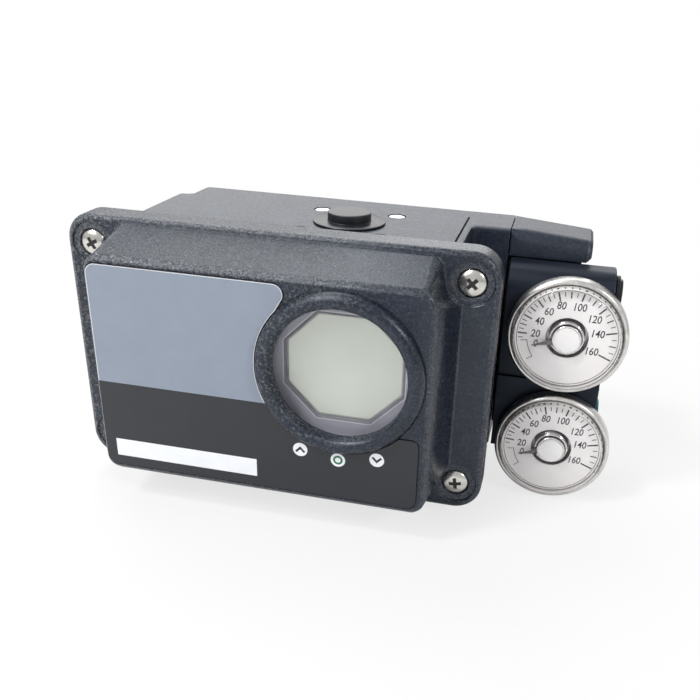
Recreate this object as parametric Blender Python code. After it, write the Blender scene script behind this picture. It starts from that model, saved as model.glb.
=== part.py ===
"""Valve positioner: an electropneumatic controller in a rectangular case with two pressure gauges.

Sizes below are millimetres, and MM turns them into metres as each mesh is made.
The design frame has +X to the right of the lid, +Y into the case and +Z up, with its zero in the
middle of the lid flange's front face. An empty moves that frame, so that the world's origin is the
centre of the footprint, at the height of the mounting pad's face.
"""

import math

import bmesh
import bpy
import numpy as np
from mathutils import Matrix, Vector

MM = 0.001

# Clearance between pieces that touch or nest, and the running clearance of turning and sliding ones
GAP = 0.3
RUNNING = 0.3

# Lid: flange, skirt and the raised front panel with its drafted walls
LID_WIDTH = 146.0
LID_HEIGHT = 92.0
LID_CORNER = 9.5
LID_FACE = 4.0
LID_SKIRT = 10.0
LID_SKIRT_WALL = 2.7
LID_EDGE = 1.8
PANEL_WIDTH = 112.8
PANEL_DRAFT = 5.7
PANEL_RISE = 19.35
PANEL_CORNER = 4.6
PANEL_EDGE = 1.5
PANEL_WALL = 2.8
ROOT_WIDTH = 122.4
ROOT_SETBACK = 2.1
ROOT_TOP_WIDTH = 109.4
LID_SCREW_SPAN_X = 128.0
LID_SCREW_INSET = 10.0
SCOOP_RADIUS = 8.3

# Window ring, glass and display
RING_SIDE_MARGIN = 1.7
WINDOW_Z = 8.6
RING_MARGIN = 2.3
RING_ROLL = 3.0
RING_CREST = 3.2
RING_LIP = 1.3
RING_WIDTH = 5.4
GLASS_SEAT_WIDTH = 2.3
GLASS_THICKNESS = 3.0
GLASS_SEAT_DEPTH = 1.35
SEAL_THICKNESS = 0.6
GLASS_BOSS_WALL = 2.4
MASK_MARGIN = 1.6
MASK_THICKNESS = 0.8
LCD_WIDTH_SHARE = 0.725
LCD_HEIGHT_SHARE = 0.651
LCD_CUT_SHARE = 0.407
LCD_PANEL_MARGIN = 1.5
LCD_PANEL_THICKNESS = 2.4
DISPLAY_BOARD_SIDE_INSET = 2.3
DISPLAY_BOARD_END_INSET = 1.8
BOARD_THICKNESS = 1.6
DISPLAY_POST_SIDE_INSET = 2.6
DISPLAY_POST_END_INSET = 2.5
DISPLAY_POST_RADIUS = 1.8
KEY_BOARD_WIDTH = 34.0
KEY_BOARD_HEIGHT = 10.0

# Front label
LABEL_THICKNESS = 0.5
LABEL_POCKET_DEPTH = 0.5
LABEL_MARGIN = 1.1
LABEL_TOP_MARGIN = 2.2
LABEL_CORNER = 3.4
LABEL_FOOT_CORNER = 2.6
LABEL_SHOULDER_X = 9.7
LABEL_SHOULDER_DROP = 8.5
LABEL_FOOT_X = 53.7
LABEL_FOOT_RISE = 8.0

# Lid screws: cross-recess pan heads sunk into the flange's corners
LID_SCREW_HEAD_RADIUS = 4.5
LID_SCREW_HEAD_HEIGHT = 2.6
LID_SCREW_SHANK_RADIUS = 2.2
LID_SCREW_LENGTH = 12.0
LID_RECESS_RADIUS = 7.2
LID_RECESS_DEPTH = 0.8
LID_COUNTERBORE_DEPTH = 1.8

# Housing
HOUSING_LEFT = -57.0
HOUSING_RIGHT = 58.0
LID_OVERHANG = 3.0
HOUSING_REAR = 66.5
HOUSING_WALL = 3.5
HOUSING_FLANGE_FRONT = 5.0
HOUSING_CORNER = 3.0
HOUSING_EDGE = 1.6
REAR_STEP = 4.7
REAR_STEP_DEPTH = 14.2
SIDE_BLOCK_RIGHT = 71.2
SIDE_BLOCK_FRONT = 43.5
SCREW_BOSS_RADIUS = 5.7
SCREW_BOSS_LENGTH = 9.0
TOP_PAD_LEFT = -1.9
TOP_PAD_RIGHT = 55.0
TOP_PAD_FRONT = 12.0
TOP_PAD_REAR = 55.5
TOP_PAD_HEIGHT = 0.5
RAIL_SIZE = 7.0
RAIL_SETBACK = 12.0
MOUNTING_PAD_WIDTH = 84.0
MOUNTING_PAD_DEPTH = 44.0
MOUNTING_PAD_REACH = 8.0
MOUNTING_PAD_SETBACK = 5.6
MOUNTING_HOLE_SPAN_X = 64.0
MOUNTING_HOLE_SPAN_Y = 24.0
MOUNTING_HOLE_RADIUS = 2.5
MOUNTING_HOLE_DEPTH = 6.0
PILOT_RADIUS = 17.0
PILOT_DEPTH = 3.0
GASKET_WIDTH = 3.0
GASKET_THICKNESS = 0.4
GASKET_INSET = 0.7

# Conduit entries on the left wall and the earth terminal
CONDUIT_Y = 34.0
CONDUIT_SPAN = 42.0
CONDUIT_BOSS_RADIUS = 13.0
CONDUIT_BOSS_REACH = 4.0
CONDUIT_BORE_RADIUS = 9.5
CONDUIT_PLUG_HEAD_RADIUS = 11.5
CONDUIT_PLUG_HEAD_HEIGHT = 4.0
CONDUIT_PLUG_LENGTH = 6.0
HEX_SOCKET_DEPTH = 2.5
EARTH_SCREW_RADIUS = 4.0
EARTH_SCREW_HEAD = 3.0
EARTH_SCREW_SHANK_RADIUS = 2.0
EARTH_SCREW_SHANK_LENGTH = 6.0
EARTH_SCREW_Y = 58.6
EARTH_SCREW_MARGIN = 12.0

# Feedback shaft, its bushes, seal cap and gear train
SHAFT_X = 16.6
SHAFT_Y = 30.4
SHAFT_RADIUS = 5.0
SHAFT_TIP_CLEARANCE = 0.5
TANG_THICKNESS = 4.0
BUSH_WALL = 2.4
BUSH_LENGTH = 9.0
BUSH_FLANGE_RADIUS = 10.0
BUSH_FLANGE_THICKNESS = 1.5
CIRCLIP_RADIUS = 7.6
CIRCLIP_THICKNESS = 1.0
CAP_DISC_RADIUS = 12.5
CAP_DISC_THICKNESS = 1.1
CAP_KNOB_RADIUS = 7.5
CAP_KNOB_HEIGHT = 3.4
CAP_SPIGOT_DEPTH = 2.0
CAP_CHAMFER = 0.6
INSERT_SPAN_X = 27.6
INSERT_SPAN_Y = 28.6
INSERT_RADIUS = 2.9
INSERT_LENGTH = 2.4
INSERT_SINK = 0.9
GEAR_MODULE = 1.2
GEAR_TEETH = 30
PINION_TEETH = 15
GEAR_WIDTH = 5.0
GEAR_HEIGHT = -22.0
GEAR_BACKLASH = 0.3
PRESSURE_ANGLE = 20.0
HUB_RADIUS = 8.5
HUB_LENGTH = 4.0
PINION_SHAFT_RADIUS = 2.5
PINION_SHAFT_LENGTH = 9.0
SENSOR_RADIUS = 8.5
SENSOR_LENGTH = 11.0
BRACKET_THICKNESS = 2.0
BRACKET_WIDTH = 20.0
BRACKET_TAB = 16.0

# Electronics and pneumatics inside the housing
BOARD_WIDTH = 104.0
BOARD_MARGIN = 5.0
MAIN_BOARD_Y = 8.6
TERMINAL_WIDTH = 46.0
TERMINAL_HEIGHT = 12.0
TERMINAL_DEPTH = 10.0
TERMINAL_POLES = 6
TERMINAL_X = -22.0
CONVERTER_X = -30.0
CONVERTER_WIDTH = 26.0
CONVERTER_HEIGHT = 26.0
CONVERTER_DEPTH = 14.0
CONVERTER_DROP = 23.0
COIL_RADIUS = 10.0
COIL_LENGTH = 16.0

# Manifold block with gauge seats, spool bore and ports
MANIFOLD_RIGHT = 109.0
MANIFOLD_FRONT = 30.0
MANIFOLD_TOP = 33.2
MANIFOLD_BOTTOM = -35.0
MANIFOLD_DEPTH = 14.0
MANIFOLD_STEP = 0.6
RELAY_RIGHT = 97.0
RELAY_REAR = 66.0
MANIFOLD_TOP_RADIUS = 8.5
MANIFOLD_EDGE = 1.2
MANIFOLD_GASKET_THICKNESS = 0.6
MANIFOLD_GASKET_INSET = 1.2
MANIFOLD_GROOVE_Z = -5.0
MANIFOLD_GROOVE_WIDTH = 3.4
MANIFOLD_GROOVE_DEPTH = 1.2
MANIFOLD_SCREW_REAR_Y = 60.5
MANIFOLD_SCREW_SPAN_Y = 10.5
MANIFOLD_SCREW_SPAN_Z = 54.0
MANIFOLD_SCREW_HEAD_RADIUS = 4.25
MANIFOLD_SCREW_HEAD_HEIGHT = 5.0
MANIFOLD_SCREW_SHANK_RADIUS = 2.5
MANIFOLD_SCREW_GRIP = 9.0
PORT_Y = 37.2
PORT_UPPER_Z = 25.6
PORT_LOWER_Z = -21.6
PORT_BORE_RADIUS = 4.6
PORT_PLUG_COLLAR_RADIUS = 6.6
PORT_PLUG_COLLAR = 1.1
PORT_PLUG_KNOB_RADIUS = 5.4
PORT_PLUG_KNOB = 2.1
PORT_PLUG_LENGTH = 8.0
SPOOL_Y = 54.0
SPOOL_Z = 2.0
SPOOL_BORE_RADIUS = 6.0
SPOOL_BORE_LENGTH = 22.0
SLEEVE_WALL = 1.2
SPOOL_LENGTH = 9.0
SPOOL_GROOVE = 1.0
SPOOL_TRAVEL = 1.5
SPRING_WIRE = 0.4
SPRING_TURNS = 3
VALVE_PLUG_HEAD_RADIUS = 8.0
VALVE_PLUG_HEAD = 1.6
VALVE_PLUG_LENGTH = 4.0

# Hood over the relay, on top of the manifold
HOOD_RIGHT = 100.1
HOOD_FRONT = 44.2
HOOD_REAR = 66.2
HOOD_LEFT_TOP = 43.0
HOOD_RIGHT_TOP = 40.6
HOOD_EDGE = 4.6
HOOD_END_EDGE = 0.9
HOOD_FOOT_EDGE = 1.7
HOOD_WALL = 2.2
HOOD_SCREW_X = 84.0
HOOD_SCREW_Z = 35.9
HOOD_SCREW_RADIUS = 2.6
HOOD_SCREW_HEAD = 1.8
HOOD_SCREW_LENGTH = 7.0
HOOD_POST_WIDTH = 9.0
HOOD_POST_DEPTH = 8.0
HOOD_POST_HEIGHT = 5.5

# Gauges
GAUGE_X = 95.1
GAUGE_UPPER_Z = 12.7
GAUGE_SPACING = 1.7
GAUGE_NAMES = ("upper", "lower")
CASE_RADIUS = 20.5
CASE_WALL = 0.8
CASE_FRONT = 22.6
CASE_LIP = 2.0
CASE_BACK_RADIUS = 1.4
CASE_SHOULDER_WIDTH = 1.7
CASE_SHOULDER_DEPTH = 3.6
CASE_SEAT = 0.5
LENS_FRONT = 20.6
LENS_THICKNESS = 1.1
LENS_EDGE = 1.4
DIAL_FRONT = 24.0
DIAL_THICKNESS = 0.5
DIAL_INSET = 1.9
DIAL_HOLE_RADIUS = 7.2
POINTER_HUB_RADIUS = 4.6
POINTER_THICKNESS = 0.5
POINTER_TIP_RADIUS = 11.6
POINTER_ROOT_WIDTH = 2.6
POINTER_TIP_WIDTH = 0.5
POINTER_ZERO_ANGLE = 196.0
ELEMENT_RADIUS = 5.7
ELEMENT_TUBE = 0.55
ELEMENT_TURNS = 2.0
STEM_RADIUS = 3.4
STEM_DEPTH = 10.0

# Smoothness of round forms
FINE = 40
ROUND = 24
SMALL = 16
SMOOTH_ANGLE = math.radians(32)
MERGE = 0.002

# Places that follow from the sizes above
ROOT_HEIGHT = LID_HEIGHT - 2 * ROOT_SETBACK
PANEL_HEIGHT = ROOT_HEIGHT - 2 * PANEL_DRAFT
HOUSING_HEIGHT = LID_HEIGHT - 2 * LID_OVERHANG
BOARD_HEIGHT = HOUSING_HEIGHT - 2 * BOARD_MARGIN
TERMINAL_Z = (TERMINAL_HEIGHT - BOARD_HEIGHT) / 2
HALF_HEIGHT = HOUSING_HEIGHT / 2
RING_RADIUS = PANEL_HEIGHT / 2 - WINDOW_Z - RING_MARGIN
EARTH_SCREW_Z = EARTH_SCREW_MARGIN - HALF_HEIGHT
WINDOW_X = PANEL_WIDTH / 2 - RING_SIDE_MARGIN - RING_RADIUS
RING_CREST_RADIUS = RING_RADIUS - RING_ROLL
WINDOW_RADIUS = RING_RADIUS - RING_WIDTH
GLASS_RADIUS = WINDOW_RADIUS + GLASS_SEAT_WIDTH
MASK_RADIUS = GLASS_RADIUS + MASK_MARGIN
LCD_WIDTH = 2 * MASK_RADIUS * LCD_WIDTH_SHARE
LCD_HEIGHT = 2 * MASK_RADIUS * LCD_HEIGHT_SHARE
LCD_CUT = MASK_RADIUS * LCD_CUT_SHARE
DISPLAY_BOARD_WIDTH = 2 * (MASK_RADIUS - DISPLAY_BOARD_SIDE_INSET)
DISPLAY_BOARD_HEIGHT = 2 * (MASK_RADIUS - DISPLAY_BOARD_END_INSET)
DISPLAY_POST_SPAN_X = DISPLAY_BOARD_WIDTH - 2 * DISPLAY_POST_SIDE_INSET
DISPLAY_POST_SPAN_Z = DISPLAY_BOARD_HEIGHT - 2 * DISPLAY_POST_END_INSET
LABEL_FOOT_Z = WINDOW_Z - RING_RADIUS + LABEL_FOOT_RISE
CONVERTER_Z = HALF_HEIGHT - CONVERTER_DROP
PANEL_FRONT = -PANEL_RISE
PAD_FACE = -HALF_HEIGHT - MOUNTING_PAD_REACH
TOP_FACE = HALF_HEIGHT + TOP_PAD_HEIGHT
GAUGE_Z = (GAUGE_UPPER_Z, GAUGE_UPPER_Z - 2 * CASE_RADIUS - GAUGE_SPACING)
CASE_LIP_RADIUS = CASE_RADIUS - CASE_LIP
LENS_RADIUS = CASE_LIP_RADIUS - GAP
DIAL_RADIUS = CASE_RADIUS - DIAL_INSET
MANIFOLD_LEFT = SIDE_BLOCK_RIGHT + MANIFOLD_GASKET_THICKNESS + 2 * GAP
GLASS_SEAT = PANEL_FRONT + GLASS_SEAT_DEPTH
GLASS_FRONT = GLASS_SEAT + SEAL_THICKNESS + 2 * GAP
GLASS_BACK = GLASS_FRONT + GLASS_THICKNESS
GLASS_BOSS_RADIUS = GLASS_RADIUS + GAP + GLASS_BOSS_WALL
MASK_FRONT = GLASS_BACK + GAP
LCD_FRONT = MASK_FRONT + MASK_THICKNESS + GAP
DISPLAY_BOARD_FRONT = LCD_FRONT + LCD_PANEL_THICKNESS + GAP
PANEL_INSIDE = PANEL_FRONT + PANEL_WALL
SCREW_X = LID_SCREW_SPAN_X / 2
SCREW_Z = LID_HEIGHT / 2 - LID_SCREW_INSET
BUSH_RADIUS = SHAFT_RADIUS + RUNNING + BUSH_WALL
BUSH_BORE = BUSH_RADIUS + GAP
GEAR_RADIUS = GEAR_MODULE * GEAR_TEETH / 2
PINION_RADIUS = GEAR_MODULE * PINION_TEETH / 2
SENSOR_X = SHAFT_X - GEAR_RADIUS - PINION_RADIUS
POCKET_FLOOR = MANIFOLD_FRONT + STEM_DEPTH + GAP
WORLD_SHIFT = Vector((
    -(GAUGE_X + CASE_RADIUS - LID_WIDTH / 2) / 2,
    -(HOOD_REAR + HOOD_SCREW_HEAD + PANEL_FRONT - RING_CREST) / 2,
    -PAD_FACE,
)) * MM

for leftover in list(bpy.data.objects):
    bpy.data.objects.remove(leftover)

origin = bpy.data.objects.new("positioner_origin", None)
origin.location = WORLD_SHIFT
bpy.context.collection.objects.link(origin)


def finish(name, colour, roughness, metallic=0.0, alpha=1.0):
    """A Principled material with one colour, roughness and metallic value."""
    material = bpy.data.materials.new(name)
    material.use_nodes = True
    shader = material.node_tree.nodes["Principled BSDF"]
    shader.inputs["Base Color"].default_value = (*colour, 1.0)
    shader.inputs["Roughness"].default_value = roughness
    shader.inputs["Metallic"].default_value = metallic
    shader.inputs["Alpha"].default_value = alpha
    return material


BLACK_COAT = finish("black_coat", (0.022, 0.024, 0.030), 0.45)
BLACK_PLASTIC = finish("black_plastic", (0.018, 0.018, 0.021), 0.5)
BLACK_RUBBER = finish("black_rubber", (0.012, 0.012, 0.013), 0.8)
BRIGHT_STEEL = finish("bright_steel", (0.78, 0.77, 0.74), 0.22, 1.0)
BRASS = finish("brass", (0.72, 0.53, 0.26), 0.3, 1.0)
BRONZE = finish("bronze", (0.55, 0.36, 0.19), 0.4, 1.0)
CLEAR = finish("clear_polycarbonate", (0.95, 0.96, 0.97), 0.05, 0.0, 0.25)
GLASS = finish("window_glass", (0.9, 0.92, 0.93), 0.03, 0.0, 0.3)
DIAL_WHITE = finish("dial_white", (0.86, 0.84, 0.84), 0.4)
POINTER_GREY = finish("pointer_grey", (0.2, 0.2, 0.2), 0.4)
LABEL_GREY = finish("label_grey", (0.32, 0.37, 0.45), 0.4)
LCD_GREY = finish("lcd_grey", (0.57, 0.58, 0.52), 0.4)
MASK_GREY = finish("mask_grey", (0.22, 0.22, 0.27), 0.5)
BOARD_GREEN = finish("board_green", (0.02, 0.16, 0.06), 0.5)
NYLON = finish("nylon_white", (0.75, 0.74, 0.7), 0.5)
TEAL = finish("teal_plastic", (0.01, 0.28, 0.38), 0.4)


def place(name, mesh, material, location=(0.0, 0.0, 0.0), turn=None):
    """Puts a finished mesh in the scene, under the origin empty, with its point of reference in mm."""
    obj = bpy.data.objects.new(name, mesh)
    obj.parent = origin
    obj.location = Vector(location) * MM
    if turn is not None:
        obj.rotation_euler = turn
    if material is not None:
        obj.data.materials.clear()
        obj.data.materials.append(material)
    bpy.context.collection.objects.link(obj)
    return obj


def close_mesh(bm, name):
    """Turns a closed bmesh into a mesh whose faces point outwards."""
    bmesh.ops.recalc_face_normals(bm, faces=bm.faces)
    mesh = bpy.data.meshes.new(name)
    bm.to_mesh(mesh)
    bm.free()
    return mesh


def smooth(obj):
    """Shades the round faces smooth and keeps the sharp edges."""
    obj.data.shade_smooth()
    obj.data.set_sharp_from_angle(angle=SMOOTH_ANGLE)
    return obj


def loft(sections, name="loft"):
    """A solid skinned over closed sections that have equal numbers of points, with flat ends."""
    bm = bmesh.new()
    rings = [[bm.verts.new(Vector(point) * MM) for point in section] for section in sections]
    for near, far in zip(rings, rings[1:]):
        for index in range(len(near)):
            after = (index + 1) % len(near)
            bm.faces.new((near[index], near[after], far[after], far[index]))
    bm.faces.new(rings[0])
    bm.faces.new(rings[-1])
    return close_mesh(bm, name)


def along_x(outline, x):
    """Places a (y, z) outline at x."""
    return [(x, y, z) for y, z in outline]


def along_y(outline, y):
    """Places an (x, z) outline at y."""
    return [(x, y, z) for x, z in outline]


def along_z(outline, z):
    """Places an (x, y) outline at z."""
    return [(x, y, z) for x, y in outline]


def prism(outline, lift, low, high, name="prism"):
    """An outline pulled straight from low to high along the axis that lift names."""
    return loft([lift(outline, low), lift(outline, high)], name)


def rectangle(low_a, high_a, low_b, high_b):
    """A rectangle's four corners."""
    return [(high_a, low_b), (high_a, high_b), (low_a, high_b), (low_a, low_b)]


def arc(centre, radius, start, end, steps):
    """Points on an arc, with both ends, at angles in degrees."""
    angles = np.radians(np.linspace(start, end, steps + 1))
    return [(centre[0] + radius * math.cos(angle), centre[1] + radius * math.sin(angle)) for angle in angles]


def rounded(low_a, high_a, low_b, high_b, radius, steps=5):
    """A rectangle with its corners rounded."""
    points = []
    corners = ((high_a - radius, high_b - radius), (low_a + radius, high_b - radius),
               (low_a + radius, low_b + radius), (high_a - radius, low_b + radius))
    for quarter, corner in enumerate(corners):
        points += arc(corner, radius, quarter * 90, quarter * 90 + 90, steps)
    return points


def fillet_outline(points, radius, steps=3, sharp=()):
    """Rounds the corners of an outline, inside and outside ones alike, except those numbered sharp."""
    result = []
    count = len(points)
    for index in range(count):
        here = Vector(points[index])
        if index in sharp:
            result.append(tuple(here))
            continue
        back = (Vector(points[index - 1]) - here)
        ahead = (Vector(points[(index + 1) % count]) - here)
        reach = min(radius, back.length * 0.45, ahead.length * 0.45)
        start = here + back.normalized() * reach
        end = here + ahead.normalized() * reach
        for step in range(steps + 1):
            share = step / steps
            point = start * (1 - share) ** 2 + here * 2 * share * (1 - share) + end * share ** 2
            result.append(tuple(point))
    return result


def turned(profile, segments, closed=False, name="turned"):
    """A profile of (radius, height) points spun about the local Z axis."""
    bm = bmesh.new()
    verts = [bm.verts.new((radius * MM, 0.0, height * MM)) for radius, height in profile]
    edges = [bm.edges.new(pair) for pair in zip(verts, verts[1:])]
    if closed:
        edges.append(bm.edges.new((verts[-1], verts[0])))
    bmesh.ops.spin(bm, geom=verts + edges, axis=(0, 0, 1), cent=(0, 0, 0), angle=math.tau, steps=segments)
    bmesh.ops.remove_doubles(bm, verts=bm.verts, dist=1e-7)
    bmesh.ops.dissolve_degenerate(bm, edges=bm.edges, dist=1e-8)
    return close_mesh(bm, name)


def pin(radius, low, high, segments=SMALL, chamfer=0.0):
    """A solid round bar on the local Z axis."""
    cut = chamfer
    profile = [(0.0, low), (radius, low), (radius, high - cut)]
    if cut > 0.0:
        profile.append((radius - cut, high))
    profile.append((0.0, high))
    return turned(profile, segments, name="pin")


def tube(inner, outer, low, high, segments=ROUND):
    """A plain ring or bush on the local Z axis."""
    profile = [(inner, low), (outer, low), (outer, high), (inner, high)]
    return turned(profile, segments, closed=True, name="tube")


# Turns that carry the local Z axis to the front, to the right and to the left
TO_FRONT = (math.radians(90), 0.0, 0.0)
TO_BACK = (math.radians(-90), 0.0, 0.0)
TO_RIGHT = (0.0, math.radians(90), 0.0)
TO_LEFT = (0.0, math.radians(-90), 0.0)


def tool(mesh, location=(0.0, 0.0, 0.0), turn=None):
    """A mesh that only serves to cut or to be joined to another."""
    obj = place("tool", mesh, None, location, turn)
    obj.hide_render = True
    obj.display_type = "WIRE"
    return obj


def gather(*tools):
    """Puts tools that stand clear of each other into one, so that a single cut uses them all."""
    bm = bmesh.new()
    for other in tools:
        bpy.context.view_layer.update()
        moved = other.data.copy()
        moved.transform(other.matrix_world)
        moved.transform(origin.matrix_world.inverted())
        bm.from_mesh(moved)
        bpy.data.objects.remove(other)
    mesh = bpy.data.meshes.new("tools")
    bm.to_mesh(mesh)
    bm.free()
    return tool(mesh)


def combine(target, operation, *tools):
    """Cuts tools from a solid or joins them to it, one after another, and removes them."""
    for other in tools:
        step = target.modifiers.new(operation.lower(), "BOOLEAN")
        step.operation = operation
        step.solver = "EXACT"
        step.object = other
        bpy.context.view_layer.update()
        result = bpy.data.meshes.new_from_object(target.evaluated_get(bpy.context.evaluated_depsgraph_get()))
        target.modifiers.clear()
        target.data = weld(result)
        bpy.data.objects.remove(other)
    return target


def weld(mesh):
    """Merges the doubled points that a cut can leave along its edges."""
    bm = bmesh.new()
    bm.from_mesh(mesh)
    bmesh.ops.remove_doubles(bm, verts=bm.verts, dist=MERGE * MM)
    bmesh.ops.dissolve_degenerate(bm, edges=bm.edges, dist=MERGE * MM)
    bm.to_mesh(mesh)
    bm.free()
    return mesh


def cut(target, *tools):
    """Takes tools away from a solid."""
    return combine(target, "DIFFERENCE", *tools)


def join(target, *tools):
    """Unites tools with a solid."""
    return combine(target, "UNION", *tools)


def bevel_edges(mesh, chosen, width, segments=2):
    """Rounds the edges that the chosen test picks, with widths in mm."""
    bm = bmesh.new()
    bm.from_mesh(mesh)
    edges = [edge for edge in bm.edges if chosen(edge)]
    bmesh.ops.bevel(bm, geom=edges, offset=width * MM, offset_type="OFFSET", segments=segments, profile=0.5,
                    affect="EDGES", clamp_overlap=True)
    bmesh.ops.recalc_face_normals(bm, faces=bm.faces)
    bm.to_mesh(mesh)
    bm.free()
    return mesh


def rim_at(height):
    """Picks the edges that lie in the plane z = height, but not those on the manifold's seat."""
    def chosen(edge):
        seated = all(abs(vert.co.x - SIDE_BLOCK_RIGHT * MM) < 1e-6 for vert in edge.verts)
        return not seated and all(abs(vert.co.z - height * MM) < 1e-6 for vert in edge.verts)
    return chosen


def lid_corner(inset):
    """The panel's root corner at upper right, from its side to its top, scooped round the lid screw."""
    radius = SCOOP_RADIUS + inset
    side = ROOT_WIDTH / 2 - inset
    first = -math.degrees(math.acos((side - SCREW_X) / radius))
    points = arc((SCREW_X, SCREW_Z), radius, first, -180, 8)
    top = ROOT_HEIGHT / 2 - inset
    points.append((ROOT_TOP_WIDTH / 2 - inset, top - PANEL_CORNER / 2))
    points.append((ROOT_TOP_WIDTH / 2 - inset - PANEL_CORNER / 2, top))
    return points


def front_corner(inset):
    """The panel's front corner at upper right, with as many points as its root corner."""
    radius = PANEL_CORNER - inset
    centre = (PANEL_WIDTH / 2 - PANEL_CORNER, PANEL_HEIGHT / 2 - PANEL_CORNER)
    return arc(centre, radius, 0, 90, 10)


def panel_section(share, inset):
    """The raised panel's outline: share 0 is its root on the flange, 1 is its front."""
    corner = [(root[0] * (1 - share) + front[0] * share, root[1] * (1 - share) + front[1] * share)
              for root, front in zip(lid_corner(inset), front_corner(inset))]
    points = list(corner)
    points += [(-x, z) for x, z in reversed(corner)]
    points += [(-x, -z) for x, z in corner]
    points += [(x, -z) for x, z in reversed(corner)]
    return points


def make_lid():
    """The lid: flange and skirt, raised panel, window ring, glass seat, display posts and screw seats."""
    half_w = LID_WIDTH / 2
    half_h = LID_HEIGHT / 2
    edge_steps = [math.radians(angle) for angle in (90, 60, 30, 0)]
    sections = []
    for angle in edge_steps:
        inset = LID_EDGE * (1 - math.cos(angle))
        y = LID_EDGE * (1 - math.sin(angle))
        outline = rounded(inset - half_w, half_w - inset, inset - half_h, half_h - inset, LID_CORNER - inset, 7)
        sections.append(along_y(outline, y))
    sections.append(along_y(rounded(-half_w, half_w, -half_h, half_h, LID_CORNER, 7), LID_SKIRT))
    lid = place("lid", loft(sections, "lid"), BLACK_COAT)
    skirt_w = half_w - LID_SKIRT_WALL
    skirt_h = half_h - LID_SKIRT_WALL
    skirt = rounded(-skirt_w, skirt_w, -skirt_h, skirt_h, LID_CORNER - LID_SKIRT_WALL, 5)
    cut(lid, tool(prism(skirt, along_y, LID_FACE, LID_SKIRT + 1)))
    neck = LID_SCREW_SHANK_RADIUS + GAP
    seat = LID_SCREW_HEAD_RADIUS + GAP
    step = -LID_RECESS_DEPTH - LID_COUNTERBORE_DEPTH
    recess = [(0.0, -LID_FACE - 1), (neck, -LID_FACE - 1), (neck, step), (seat, step), (seat, -LID_RECESS_DEPTH),
              (LID_RECESS_RADIUS, -LID_RECESS_DEPTH), (LID_RECESS_RADIUS, 3.0), (0.0, 3.0)]
    recesses = [tool(turned(recess, ROUND), (x, 0.0, z), TO_FRONT) for x, z in lid_screw_places()]
    cut(lid, gather(*recesses))

    wall_rise = PANEL_RISE - PANEL_EDGE
    draft_share = wall_rise / PANEL_RISE
    panel = [along_y(panel_section(0.0, 0.0), LID_FACE / 2), along_y(panel_section(0.0, 0.0), 0.0),
             along_y(panel_section(draft_share, 0.0), -wall_rise)]
    for angle in (math.radians(30), math.radians(60), math.radians(90)):
        inset = PANEL_EDGE * (1 - math.cos(angle))
        panel.append(along_y(panel_section(1.0, inset), -wall_rise - PANEL_EDGE * math.sin(angle)))
    ring = turned(ring_profile(), FINE, closed=True, name="ring")
    raised = tool(loft(panel))
    pocket = prism(label_outline(GAP, RING_RADIUS - 1), along_y, PANEL_FRONT - 1, PANEL_FRONT + LABEL_POCKET_DEPTH)
    cut(raised, tool(pocket))
    join(lid, raised, tool(ring, (WINDOW_X, PANEL_FRONT, WINDOW_Z), TO_FRONT))

    hollow = [along_y(panel_section(0.0, PANEL_WALL), LID_FACE + 1), along_y(panel_section(0.0, PANEL_WALL), 0.0),
              along_y(panel_section(1.0, PANEL_WALL), PANEL_INSIDE)]
    cut(lid, tool(loft(hollow)))

    boss = pin(GLASS_BOSS_RADIUS, -(GLASS_BACK - GAP / 2), -(PANEL_INSIDE - PANEL_WALL / 2), FINE)
    posts = []
    for side in (-1, 1):
        for level in (-1, 1):
            spot = (WINDOW_X + side * DISPLAY_POST_SPAN_X / 2, 0.0, WINDOW_Z + level * DISPLAY_POST_SPAN_Z / 2)
            post = pin(DISPLAY_POST_RADIUS, -(DISPLAY_BOARD_FRONT - GAP), -(PANEL_INSIDE - 1), 12)
            posts.append(tool(post, spot, TO_FRONT))
    join(lid, tool(boss, (WINDOW_X, 0.0, WINDOW_Z), TO_FRONT), *posts)
    top = RING_CREST - PANEL_FRONT + 2
    opening = [(0.0, -GLASS_BACK - 2), (GLASS_RADIUS + GAP, -GLASS_BACK - 2), (GLASS_RADIUS + GAP, -GLASS_SEAT),
               (WINDOW_RADIUS, -GLASS_SEAT), (WINDOW_RADIUS, top), (0.0, top)]
    cut(lid, tool(turned(opening, FINE), (WINDOW_X, 0.0, WINDOW_Z), TO_FRONT))
    return smooth(lid)


def ring_profile():
    """The window ring's section: a low sharp lip inside, a rolled crest and a round outer shoulder."""
    sunk = -PANEL_WALL / 2
    points = [(WINDOW_RADIUS - 1, sunk), (RING_RADIUS, sunk)]
    for angle in (0, 22, 45, 67, 90):
        share = math.radians(angle)
        points.append((RING_CREST_RADIUS + (RING_RADIUS - RING_CREST_RADIUS) * math.cos(share),
                       RING_CREST * math.sin(share)))
    for angle in (25, 50, 75):
        share = math.radians(angle)
        points.append((RING_CREST_RADIUS - (RING_CREST_RADIUS - WINDOW_RADIUS) * math.sin(share),
                       RING_LIP + (RING_CREST - RING_LIP) * math.cos(share)))
    points.append((WINDOW_RADIUS - 1, RING_LIP))
    return points


def lid_screw_places():
    """The lid screws' places, clockwise from the upper left."""
    return [(-SCREW_X, SCREW_Z), (SCREW_X, SCREW_Z), (SCREW_X, -SCREW_Z), (-SCREW_X, -SCREW_Z)]


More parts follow.
